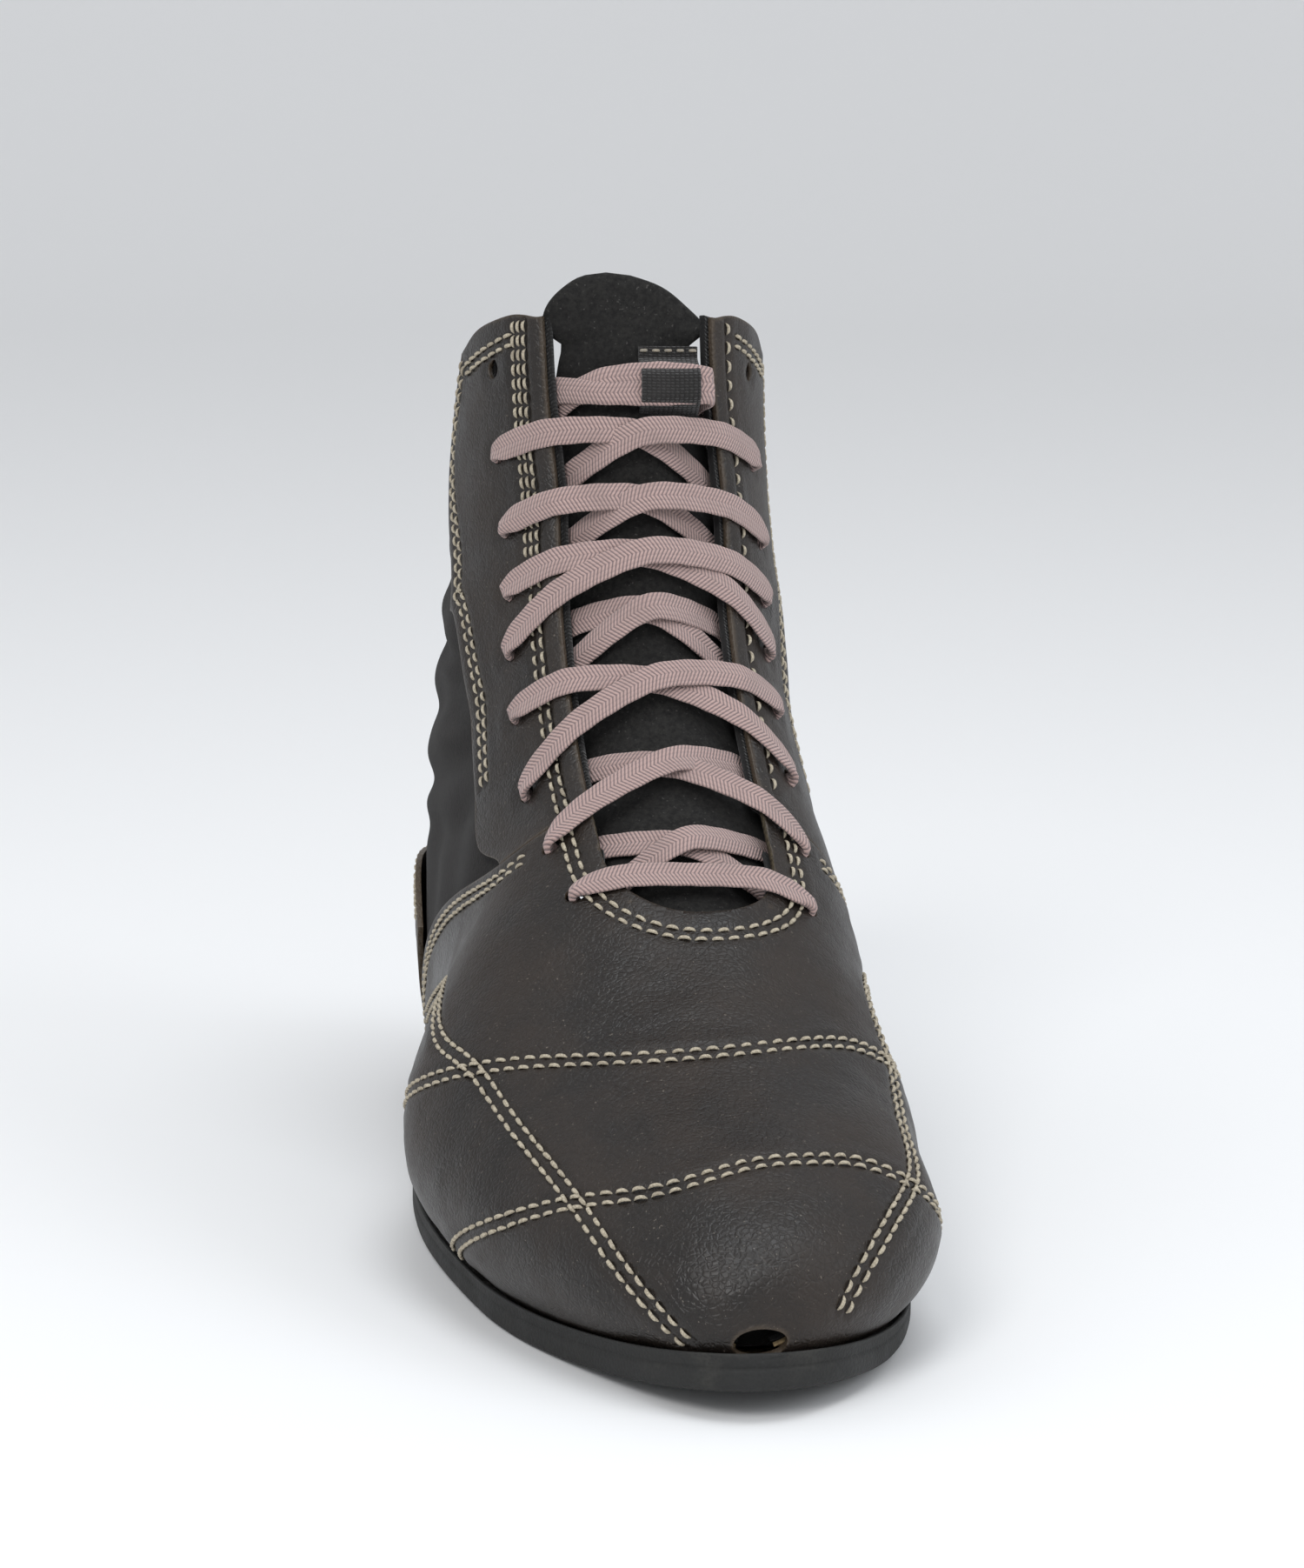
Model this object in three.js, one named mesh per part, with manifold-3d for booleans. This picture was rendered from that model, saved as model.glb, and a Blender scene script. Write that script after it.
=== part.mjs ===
// A high-top lace-up boxing boot for the right foot, in millimetres, +Z up.
// The toe points to -Y, the big-toe (medial) side is +X, and the sole stands on z = 0.
// Every panel of the upper is a thick patch of one form, the last: a row of rings from the toe to
// the collar. u counts the rings (0 at the toe tip, 12 at the collar) and w runs round a ring from
// the lateral foot of the ring (-1) over the centre line (0) to the medial foot (+1).
import * as THREE from "three";
import { mergeVertices } from "three/addons/utils/BufferGeometryUtils.js";
import Module from "manifold-3d";

const wasm = await Module();
wasm.setup();

// ---------- overall sizes ----------
const LAST_LENGTH = 296;
const BALL_WIDTH = 106;
const COLLAR_HEIGHT = 212;

// ---------- material thicknesses and fits ----------
const CLEARANCE = 0.3;
const LEATHER = 1.4;
const FABRIC = 1.0;
const STIFFENER = 0.8;
const LINING = 1.0;
const COVER_LIFT = 0.5; // how much further out the heel cover lies than the other leather
const COLLAR_FOAM = 4.0;
const TONGUE_THICKNESS = 3.0;
const OUTSOLE_FLOOR = 2.4;
const OUTSOLE_WALL = 1.2;
const OUTSOLE_RIM = 0.9; // height of the rubber wall above the upper's lower edge
const WALL_CLEARANCE = 1.9;
const LAYER_GAP = 1.0; // between the hidden layers of the upper
const STIFFENER_GAP = 1.3; // between the quarter and the heel stiffener
const MIDSOLE = 2.0;
const INSOLE_BOARD = 1.2;
const SOCKLINER = 3.2;
const SOLE_GRIND = 0.6; // rounding of the outsole's lower edge

// ---------- lacing ----------
const EYELET_DIAMETER = 4.6;
const LACE_THICKNESS = 1.9;
const LACE_BRIDGE = 2.9; // the lace spans the tongue's curve rather than following it
const AGLET_LENGTH = 20;
const AGLET_DIAMETER = 2.6;
const GAP_HALF_WIDTH = 19;
const THROAT_LENGTH = 0.75; // rings over which the throat rounds off
const THROAT_RING = 5.7;
const EYELET_RINGS = [6.12, 6.77, 7.6, 8.32, 8.9, 9.42, 10.05, 10.82, 11.6];
const EYELET_INSET = 10.5;

// ---------- loop and hinge of the tongue ----------
const HINGE_RING = 11.62;
const FLAP_HEIGHT = 13.8;
const FLAP_SIDE_GAP = 1.2; // between the tongue's top and the gap's edges
const FLAP_HALF_WIDTH = GAP_HALF_WIDTH - FLAP_SIDE_GAP;
const TONGUE_HALF_WIDTH = 30;
const LOOP_WIDTH = 14;
const LOOP_LENGTH = 19;
const LOOP_STAND_OFF = 4.6;
const LOOP_STRAP = 1.0;
const LOOP_GAP = 0.9; // room under the loop's feet for the tongue's curve
const LOOP_SIDE = 9.5; // from the tongue's centre line towards the medial side

// ---------- the last ----------
// The drawn size of the last, which the overall sizes stretch or shrink.
const DRAWN = { length: 296, width: 106, height: 212 };
const SX = BALL_WIDTH / DRAWN.width;
const SY = LAST_LENGTH / DRAWN.length;
const SZ = COLLAR_HEIGHT / DRAWN.height;
const TOE_Y = -148;
const HEEL_Y = 148;
const TOE_ROUND = 74;
const TOE_SQUARE = 2; // 2 gives an elliptic toe, more a squarer one
const HEEL_ROUND = 40;
const CENTRE_X = 5.4;
const FEATHER = OUTSOLE_FLOOR + MIDSOLE + INSOLE_BOARD + 2 * CLEARANCE + 1.1;
const TOE_SPRING = 7;

// Natural cubic spline through knots, straight beyond both ends.
function spline(xs, ys) {
  const n = xs.length;
  const h = xs.slice(1).map((x, i) => x - xs[i]);
  const slope = h.map((step, i) => (ys[i + 1] - ys[i]) / step);
  const upper = new Array(n).fill(0);
  const bend = new Array(n).fill(0);
  for (let i = 1; i < n - 1; i++) {
    const pivot = 2 * (h[i - 1] + h[i]) - h[i - 1] * upper[i - 1];
    upper[i] = h[i] / pivot;
    bend[i] = (6 * (slope[i] - slope[i - 1]) - h[i - 1] * bend[i - 1]) / pivot;
  }
  for (let i = n - 2; i > 0; i--) bend[i] -= upper[i] * bend[i + 1];
  return (x) => {
    if (x < xs[0]) return ys[0] + (x - xs[0]) * (slope[0] - (h[0] * bend[1]) / 6);
    if (x > xs[n - 1]) {
      return ys[n - 1] + (x - xs[n - 1]) * (slope[n - 2] + (h[n - 2] * bend[n - 2]) / 6);
    }
    let i = 0;
    while (i < n - 2 && x > xs[i + 1]) i++;
    const a = xs[i + 1] - x;
    const b = x - xs[i];
    const curve = (bend[i] * a ** 3 + bend[i + 1] * b ** 3) / (6 * h[i]);
    const from = (ys[i] / h[i] - (bend[i] * h[i]) / 6) * a;
    const to = (ys[i + 1] / h[i] - (bend[i + 1] * h[i]) / 6) * b;
    return curve + from + to;
  };
}

function clamp(value, low, high) {
  return Math.min(Math.max(value, low), high);
}

function toeLift(y) {
  return TOE_SPRING * Math.max(0, (-90 - y) / 60) ** 2;
}

// One row for each ring: the centre line's y and z at the top, the centre's y and height above the
// sole's edge at the foot of the ring, the medial and lateral half widths, and the crown's shift.
const RINGS = [
  [-148, 10.2, -148, 0, 5, 4, 1],
  [-145.5, 21.7, -145.5, 0, 13, 12, 4],
  [-133, 31.7, -133, 0, 28, 27, 7],
  [-112, 39.7, -109, 0, 41, 42, 7],
  [-88, 48.7, -82, 0, 44.5, 53.5, 7],
  [-62, 61.7, -52, 0, 47, 61, 6],
  [-38, 78.7, -20, 0, 46.5, 59.5, 4],
  [-16, 98.7, 16, 0, 46.5, 51.5, 2],
  [2, 120.7, 60, 0, 45, 46.8, 0],
  [14, 143.7, 122, 4, 45, 46.3, -1],
  [22, 164.7, 148, 38.7, 41, 44.2, -1],
  [27, 185.7, 141, 100.7, 37.5, 39.2, -3],
  [30, 204.7, 137, 171.7, 36, 35.9, -4],
];
const COLLAR_RING = RINGS.length - 1;
const BACK_RING = 10; // where the foot of the ring reaches the back seam
const KNOTS = RINGS.map((row, k) => k);
const topY = spline(KNOTS, RINGS.map((row) => row[0] * SY));
const topZ = spline(KNOTS, RINGS.map((row) => FEATHER + row[1] * SZ));
const footY = spline(KNOTS, RINGS.map((row) => row[2] * SY));
const footZ = spline(KNOTS, RINGS.map((row) => FEATHER + toeLift(row[2]) + row[3] * SZ));
const widthMedial = spline(KNOTS, RINGS.map((row) => row[4] * SX));
const widthLateral = spline(KNOTS, RINGS.map((row) => row[5] * SX));
const crown = spline(KNOTS, RINGS.map((row) => row[6] * SX));

// Half widths of the sole's edge, along the length.
const EDGE_Y = [-148, -120, -95, -60, -20, 20, 60, 100, 148];
const edgeMedial = spline(EDGE_Y, [32, 36.5, 39.5, 43, 42, 37, 35, 35, 35]);
const edgeLateral = spline(EDGE_Y, [27, 31, 38, 46, 51, 49.5, 44, 39, 35]);

// The sole's half width at y, rounded off to nothing at the toe and the heel.
function edgeHalfWidth(y, side) {
  const drawn = clamp(y / SY, TOE_Y, HEEL_Y);
  const toe = clamp(1 - (drawn - TOE_Y) / TOE_ROUND, 0, 1);
  const heel = clamp(1 - (HEEL_Y - drawn) / HEEL_ROUND, 0, 1);
  const width = side > 0 ? edgeMedial(drawn) : edgeLateral(drawn);
  return SX * width * (1 - toe ** TOE_SQUARE) ** (1 / TOE_SQUARE) * Math.sqrt(1 - heel * heel);
}

// A ring's own numbers: its ends, its half width, and the angle at which it reaches its foot.
function ringAt(u, side) {
  const foot = u < BACK_RING ? edgeHalfWidth(footY(u), side) : 0;
  const width = Math.max(side > 0 ? widthMedial(u) : widthLateral(u), foot * 1.002);
  const turn = Math.PI - Math.asin(clamp(foot / width, 0, 1));
  return { width, turn, top: [topY(u), topZ(u)], foot: [footY(u), footZ(u)], crown: crown(u) };
}

// The point of a ring at an angle: a quarter to a half of an ellipse from the centre line down.
// flat takes the curve across the ring away, for the flat upper end of the tongue.
function ringPoint(ring, angle, side, flat = 0) {
  const along = (1 - Math.cos(angle)) / (1 - Math.cos(ring.turn));
  const drop = along * (1 - flat);
  return new THREE.Vector3(
    CENTRE_X + ring.crown * (1 - along) + side * ring.width * Math.sin(angle),
    ring.top[0] + (ring.foot[0] - ring.top[0]) * drop,
    ring.top[1] + (ring.foot[1] - ring.top[1]) * drop,
  );
}

function last(u, w, flat = 0) {
  const side = w < 0 ? -1 : 1;
  const ring = ringAt(u, side);
  return ringPoint(ring, Math.abs(w) * ring.turn, side, flat);
}

function normalAt(surface, u, w) {
  const step = 1e-3;
  const along = surface(u + step, w).sub(surface(Math.max(u - step, 1e-4), w));
  const across = surface(u, w + step).sub(surface(u, w - step));
  return across.cross(along).normalize();
}

// The point at distance d outside the last.
function skin(u, w, d, surface = last) {
  return surface(u, w).addScaledVector(normalAt(surface, u, w), d);
}

// The w at which a ring is h millimetres from its centre line.
function acrossRing(u, side, h) {
  const ring = ringAt(u, side);
  return (side * Math.asin(clamp(h / ring.width, 0, 1))) / ring.turn;
}

// ---------- solids ----------
function solidFrom(positions, index) {
  const raw = new THREE.BufferGeometry();
  raw.setAttribute("position", new THREE.Float32BufferAttribute(positions, 3));
  if (index) raw.setIndex(index);
  const geometry = mergeVertices(raw, 1e-4);
  return new wasm.Manifold(
    new wasm.Mesh({
      numProp: 3,
      vertProperties: new Float32Array(geometry.attributes.position.array),
      triVerts: new Uint32Array(geometry.index.array),
    }),
  );
}

function solidFromGeometry(geometry, matrix) {
  const plain = geometry.index ? geometry.toNonIndexed() : geometry.clone();
  plain.deleteAttribute("normal");
  plain.deleteAttribute("uv");
  if (matrix) plain.applyMatrix4(matrix);
  return solidFrom(plain.attributes.position.array, null);
}

// A closed thick patch: at(a, b) gives u and w, and inner(u, w) to outer(u, w) its thickness.
function patch({ rows, columns, at, inner, outer, surface = last }) {
  const positions = [];
  for (const offset of [outer, inner]) {
    for (let i = 0; i <= rows; i++) {
      for (let j = 0; j <= columns; j++) {
        const [u, w] = at(i / rows, j / columns);
        positions.push(...skin(u, w, offset(u, w), surface).toArray());
      }
    }
  }
  const wide = columns + 1;
  const back = wide * (rows + 1);
  const index = [];
  const quad = (a, b, c, d) => index.push(a, b, c, a, c, d);
  for (let i = 0; i < rows; i++) {
    for (let j = 0; j < columns; j++) {
      const p = i * wide + j;
      quad(p, p + 1, p + wide + 1, p + wide);
      quad(back + p, back + p + wide, back + p + wide + 1, back + p + 1);
    }
    const left = i * wide;
    const right = left + columns;
    quad(left, left + wide, back + left + wide, back + left);
    quad(right + wide, right, back + right, back + right + wide);
  }
  for (let j = 0; j < columns; j++) {
    const low = j;
    const high = rows * wide + j;
    quad(low + 1, low, back + low, back + low + 1);
    quad(high, high + 1, back + high + 1, back + high);
  }
  return solidFrom(positions, index);
}

// The form at a height: the ring's own point there, or straight below the ring's foot.
function hull(u, side, z) {
  const ring = ringAt(u, side);
  const share = clamp((ring.top[1] - z) / (ring.top[1] - ring.foot[1]), 0, 1);
  const angle = Math.acos(clamp(1 - share * (1 - Math.cos(ring.turn)), -1, 1));
  return ringPoint(ring, angle, side);
}

const LOOP_RINGS = [];
for (let k = 0; k <= 8; k++) LOOP_RINGS.push(0.06 + 1.94 * (k / 8) ** 2);
for (let u = 2.35; u < 8.6; u += 0.35) LOOP_RINGS.push(u);
for (let k = 8; k >= 0; k--) LOOP_RINGS.push(9.97 - 1.3 * (k / 8) ** 1.5);

// A closed loop round the boot at height z(y), moved outwards by d.
function soleLoop(d, z) {
  const base = [1, -1].map((side) =>
    LOOP_RINGS.map((u) => hull(u, side, z(footY(u))).setZ(z(footY(u)))),
  );
  const loop = [...base[0], ...base[1].reverse()];
  return loop.map((p, i) => {
    const before = loop[(i + loop.length - 1) % loop.length];
    const after = loop[(i + 1) % loop.length];
    const outward = new THREE.Vector3(after.y - before.y, before.x - after.x, 0).normalize();
    return p.clone().addScaledVector(outward, d);
  });
}

// A slab or tray of the sole: loops from the underside to the top, with a cap at both ends.
function soleSolid(profile) {
  const loops = profile.map(([d, z]) => soleLoop(d, z));
  const n = loops[0].length;
  const half = n / 2;
  const positions = loops.flat().flatMap((p) => p.toArray());
  const index = [];
  for (let k = 0; k < loops.length - 1; k++) {
    for (let i = 0; i < n; i++) {
      const a = k * n + i;
      const b = k * n + ((i + 1) % n);
      index.push(a, b, b + n, a, b + n, a + n);
    }
  }
  const top = (loops.length - 1) * n;
  for (let i = 0; i < half - 1; i++) {
    const [m0, m1] = [i, i + 1];
    const [l0, l1] = [n - 1 - i, n - 2 - i];
    index.push(m0, l1, m1, m0, l0, l1);
    index.push(top + m0, top + m1, top + l1, top + m0, top + l1, top + l0);
  }
  return solidFrom(positions, index);
}

// ---------- layers of the upper, as distances from the last ----------
const SHELL = { inner: CLEARANCE, outer: CLEARANCE + LEATHER };
const BODY = { inner: SHELL.inner - LAYER_GAP - FABRIC, outer: SHELL.inner - LAYER_GAP };
const COVER = { inner: SHELL.inner + COVER_LIFT, outer: SHELL.outer + COVER_LIFT };
const CORE = { inner: BODY.inner - STIFFENER_GAP - STIFFENER, outer: BODY.inner - STIFFENER_GAP };
const INNER = { inner: CORE.inner - LAYER_GAP - LINING, outer: CORE.inner - LAYER_GAP };
const TONGUE_OUTER = BODY.inner - 2 * LAYER_GAP - LACE_THICKNESS;
const TONGUE_INNER = TONGUE_OUTER - TONGUE_THICKNESS;
const LACE_UNDER = (BODY.inner + TONGUE_OUTER) / 2;
const LACE_OVER = SHELL.outer + LACE_THICKNESS / 2 + 3 * CLEARANCE;

const layer = (depth) => ({ inner: () => depth.inner, outer: () => depth.outer });

// ---------- edges of the panels ----------
const vampEnd = spline([0.2, 0.3, 0.42, 0.55, 0.68, 0.8, 1], [6.9, 6.97, 7.12, 7.55, 8.2, 8.55, 8.75]);
const stayEdge = spline(
  [6.8, 7.3, 7.8, 8.2, 8.8, 9.4, 10.0, 10.6, 11.4, 12],
  [0.44, 0.47, 0.52, 0.48, 0.43, 0.39, 0.37, 0.4, 0.47, 0.43],
);

function gapEdge(u, side) {
  const short = clamp((THROAT_RING + THROAT_LENGTH - u) / THROAT_LENGTH, 0, 1);
  const half = GAP_HALF_WIDTH * Math.sqrt(1 - short * short);
  return Math.abs(acrossRing(u, side, half));
}

function eyelet(row, side) {
  const u = EYELET_RINGS[row];
  const spread = row === 0 ? -3.5 : row === 1 ? -1.5 : 0;
  return [u, acrossRing(u, side, GAP_HALF_WIDTH + EYELET_INSET + spread)];
}

const PUFF_END = 2.6;
const SEAM_LAP = 0.35; // how far, in rings, a lining stops short of the vamp's rear seam
const SEAM_GAP = 0.03;
const EDGE_INSET = 0.01;
const BACK_SEAM_GAP = 0.004;
const SKIRT_RING = 8.85;
const SKIRT_LAP = 0.1;
const FOAM_RING = 9.6;
const BACKSTAY_HALF_WIDTH = 11;
const COVER_END = 10.55;
const STIFFENER_END = 10.4;
const coverTop = spline([8.75, 9.2, 9.7, 10.2, COVER_END], [0.75, 0.7, 0.72, 0.83, 0.985]);
const stiffenerTop = spline([8.75, 9.2, 9.7, STIFFENER_END], [0.8, 0.76, 0.82, 0.98]);

// How far the foam roll at the collar swells inwards.
function foamSwell(u) {
  const start = THREE.MathUtils.smoothstep(u, 10.6, 11.3);
  const end = 1 - THREE.MathUtils.smoothstep(u, 11.75, 12);
  return (COLLAR_FOAM - STIFFENER) * start * (0.35 + 0.65 * end);
}

// The rear edge of the strip behind the eyelets, where the quarter begins.
function backingEdge(u, side) {
  return Math.abs(acrossRing(u, side, GAP_HALF_WIDTH + EYELET_INSET + 5));
}

const SIDES = [
  { name: "medial", side: 1 },
  { name: "lateral", side: -1 },
];

const boot = new THREE.Group();

function addMesh(name, solid, colour, roughness, metalness = 0) {
  const mesh = solid.getMesh();
  const geometry = new THREE.BufferGeometry();
  geometry.setAttribute("position", new THREE.Float32BufferAttribute(mesh.vertProperties, 3));
  geometry.setIndex(new THREE.Uint32BufferAttribute(mesh.triVerts, 1));
  geometry.computeVertexNormals();
  const material = new THREE.MeshStandardMaterial({ color: colour, roughness, metalness });
  const node = new THREE.Mesh(geometry, material);
  node.name = name;
  boot.add(node);
}

const COLOURS = {
  leather: 0x2c2521,
  fabric: 0x1c1b19,
  lining: 0x161514,
  rubber: 0x2a2a29,
  foam: 0x4a4844,
  board: 0x8a7a62,
  lace: 0xaa9189,
  felt: 0x201f1e,
  aglet: 0x8f8a88,
};

// ---------- the sole ----------
const flatAt = (height) => (y) => height + toeLift(y / SY);
const rim = flatAt(FEATHER + OUTSOLE_RIM);
const WALL_INNER = SHELL.outer + WALL_CLEARANCE;
const WALL_OUTER = WALL_INNER + OUTSOLE_WALL;
addMesh(
  "outsole",
  soleSolid([
    [WALL_OUTER - 2, flatAt(0)],
    [WALL_OUTER - SOLE_GRIND, flatAt(SOLE_GRIND)],
    [WALL_OUTER, flatAt(3 * SOLE_GRIND)],
    [WALL_OUTER, flatAt(FEATHER)],
    [WALL_OUTER, rim],
    [WALL_INNER, rim],
    [WALL_INNER, flatAt(FEATHER)],
    [WALL_INNER, flatAt(OUTSOLE_FLOOR)],
  ]),
  COLOURS.rubber,
  0.8,
);
let level = OUTSOLE_FLOOR + CLEARANCE;
addMesh(
  "midsole",
  soleSolid([
    [WALL_INNER - CLEARANCE, flatAt(level)],
    [WALL_INNER - CLEARANCE, flatAt(level + MIDSOLE)],
  ]),
  COLOURS.foam,
  0.9,
);
level += MIDSOLE + CLEARANCE;
addMesh(
  "insole_board",
  soleSolid([
    [0, flatAt(level)],
    [0, flatAt(level + INSOLE_BOARD)],
  ]),
  COLOURS.board,
  0.9,
);
level += INSOLE_BOARD + CLEARANCE;
addMesh(
  "sockliner",
  soleSolid([
    [INNER.inner - 2 * CLEARANCE, flatAt(level)],
    [INNER.inner - 2 * CLEARANCE, flatAt(level + SOCKLINER)],
  ]),
  COLOURS.lining,
  0.95,
);

// ---------- the vamp, its puff and its lining ----------
const throatCut = patch({
  rows: 12,
  columns: 6,
  at: (a, b) => {
    const u = THROAT_RING + 1e-3 + 1.6 * a * a;
    return [u, THREE.MathUtils.lerp(-gapEdge(u, -1), gapEdge(u, 1), b)];
  },
  inner: () => -12,
  outer: () => 12,
});

const punchShape = new THREE.CylinderGeometry(EYELET_DIAMETER / 2, EYELET_DIAMETER / 2, 14, 8);

function eyeletPunch(row, side) {
  const [u, w] = eyelet(row, side);
  const up = new THREE.Vector3(0, 1, 0);
  const turn = new THREE.Quaternion().setFromUnitVectors(up, normalAt(last, u, w));
  const place = new THREE.Matrix4().compose(last(u, w), turn, new THREE.Vector3(1, 1, 1));
  return solidFromGeometry(punchShape, place);
}

// A sheet over the forefoot from one ring to an end that may vary round the ring.
function vampSheet(depth, first, end, rows, columns, reach = 1) {
  return patch({
    rows,
    columns,
    at: (a, b) => {
      const w = reach * (2 * b - 1);
      return [THREE.MathUtils.lerp(first, end(Math.abs(w)), a ** 1.15), w];
    },
    ...depth,
  });
}

const VAMP_EYELETS = 2; // the rows of eyelets that lie in the vamp, below the eyestays
const vampPunches = SIDES.flatMap(({ side }) =>
  EYELET_RINGS.slice(0, VAMP_EYELETS).map((u, row) => eyeletPunch(row, side)),
);
const punchVamp = (solid) => vampPunches.reduce((left, tool) => left.subtract(tool), solid);
const vamp = vampSheet(layer(SHELL), 0.2, vampEnd, 18, 26).subtract(throatCut);
addMesh("vamp", punchVamp(vamp), COLOURS.leather, 0.45);
addMesh("toe_puff", vampSheet(layer(BODY), 0.45, () => PUFF_END, 6, 20, 0.95), COLOURS.board, 0.9);

// The lining dips under the toe puff and rises to the leather behind it.
const dip = (u) => THREE.MathUtils.smoothstep(u, PUFF_END + 0.1, PUFF_END + 0.9) - 1;
const vampLining = vampSheet(
  {
    inner: (u) => BODY.inner + dip(u) * (FABRIC + 2 * CLEARANCE),
    outer: (u) => BODY.outer + dip(u) * (FABRIC + 2 * CLEARANCE),
  },
  0.45,
  (w) => vampEnd(w) - SEAM_LAP,
  14,
  22,
  0.97,
);
addMesh("vamp_lining", punchVamp(vampLining.subtract(throatCut)), COLOURS.lining, 0.95);

// ---------- eyestays, quarters and their linings, one set for each side ----------
// A sheet on one side of the boot, from the edge near to the edge far, both as |w| at a ring.
function sideSheet({ side, depth, first, last: end, near, far, rows, columns }) {
  return patch({
    rows,
    columns,
    at: (a, b) => {
      const share = side > 0 ? b : 1 - b;
      let u = THREE.MathUtils.lerp(first(0.5), end, a);
      let w = 0.5;
      for (let pass = 0; pass < 4; pass++) {
        w = THREE.MathUtils.lerp(near(u), far(u), share);
        u = THREE.MathUtils.lerp(first(w), end, a);
      }
      return [u, side * w];
    },
    ...depth,
  });
}

// The wall that closes the heel below the feet of the rings, down to the sole's edge.
function heelSkirt(side, depth, first) {
  // Above the foot (a negative drop) the surface is the ring's own, so that the two pieces join.
  const surface = (u, w) => {
    const drop = side * w;
    const ring = ringAt(Math.min(u, BACK_RING - 0.01), side);
    const point = ringPoint(ring, ring.turn * (1 + 0.4 * Math.min(drop, 0)), side);
    return point.setZ(point.z - Math.max(drop, 0) * (point.z - FEATHER));
  };
  return patch({
    rows: 8,
    columns: 4,
    at: (a, b) => {
      const u = THREE.MathUtils.lerp(first, BACK_RING - 0.012, a);
      const share = side > 0 ? b : 1 - b;
      return [u, side * THREE.MathUtils.lerp(-SKIRT_LAP, 1, share)];
    },
    ...depth,
    surface,
  });
}

for (const { name, side } of SIDES) {
  const punches = EYELET_RINGS.map((u, row) => eyeletPunch(row, side));
  const punch = (solid) => punches.reduce((left, tool) => left.subtract(tool), solid);
  const stay = sideSheet({
    side,
    depth: layer(SHELL),
    first: (w) => vampEnd(w) + SEAM_GAP,
    last: COLLAR_RING,
    near: (u) => gapEdge(u, side),
    far: stayEdge,
    rows: 20,
    columns: 4,
  });
  addMesh("eyestay_" + name, punch(stay), COLOURS.leather, 0.45);
  const backing = sideSheet({
    side,
    depth: layer(BODY),
    first: () => THROAT_RING + THROAT_LENGTH + 0.5,
    last: COLLAR_RING,
    near: (u) => gapEdge(u, side) + EDGE_INSET,
    far: (u) => backingEdge(u, side),
    rows: 18,
    columns: 3,
  });
  addMesh("eyestay_backing_" + name, punch(backing), COLOURS.lining, 0.9);

  // The quarter runs from the backing to the back seam, and down to the sole behind the vamp.
  const quarterStart = (w) => vampEnd(w) - SEAM_LAP + SEAM_GAP;
  const behindBacking = (u) => backingEdge(u, side) + EDGE_INSET;
  const backSeam = () => 1 - BACK_SEAM_GAP;
  const upperBody = (depth, near = behindBacking, rows = 18, columns = 11) =>
    sideSheet({ side, depth, first: quarterStart, last: COLLAR_RING, near, far: backSeam, rows, columns });
  const quarter = upperBody(layer(BODY)).add(heelSkirt(side, layer(BODY), SKIRT_RING));
  addMesh("quarter_" + name, quarter, COLOURS.fabric, 0.95);
  const lining = {
    inner: (u) => INNER.inner - foamSwell(u),
    outer: (u) => INNER.outer - foamSwell(u),
  };
  const inside = (u) => behindBacking(u) + 2 * EDGE_INSET;
  addMesh("quarter_lining_" + name, upperBody(lining, inside), COLOURS.lining, 0.95);

  // Foam under the quarter, thick in a roll at the collar.
  const foam = sideSheet({
    side,
    depth: { inner: (u) => CORE.inner + CLEARANCE - foamSwell(u), outer: () => CORE.outer },
    first: () => FOAM_RING,
    last: COLLAR_RING - 0.02,
    near: inside,
    far: (u) => Math.min(backSeam(), stiffenerTop(u) - 0.03),
    rows: 12,
    columns: 10,
  });
  addMesh("collar_foam_" + name, foam, COLOURS.foam, 0.95);

  // Heel counter: a stiffener under the quarter and a leather cover over it.
  const counter = (depth, end, top) =>
    sideSheet({ side, depth, first: () => 8.75, last: end, near: top, far: backSeam, rows: 9, columns: 6 });
  const stiff = counter(layer(CORE), STIFFENER_END, (u) => Math.min(stiffenerTop(u), 1 - 2 * BACK_SEAM_GAP));
  addMesh("heel_stiffener_" + name, stiff.add(heelSkirt(side, layer(CORE), SKIRT_RING)), COLOURS.board, 0.9);
  const cover = counter(layer(COVER), COVER_END, (u) => Math.min(coverTop(u), 1 - 2 * BACK_SEAM_GAP));
  addMesh("heel_cover_" + name, cover.add(heelSkirt(side, layer(COVER), SKIRT_RING)), COLOURS.leather, 0.45);
}

// ---------- the strap down the back seam ----------
const seamAngle = (u, side) => side * (1 - Math.abs(acrossRing(u, side, BACKSTAY_HALF_WIDTH)));
const backSurface = (u, b) => {
  const side = b < 0 ? 1 : -1;
  return last(u, seamAngle(u, side) * Math.abs(b) + side * (1 - Math.abs(b)));
};
const backstay = patch({
  rows: 8,
  columns: 8,
  at: (a, b) => [THREE.MathUtils.lerp(COVER_END + 0.03, COLLAR_RING, a), 2 * b - 1],
  ...layer(SHELL),
  surface: (u, b) => backSurface(u, b),
});
addMesh("backstay", backstay, COLOURS.leather, 0.45);

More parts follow.
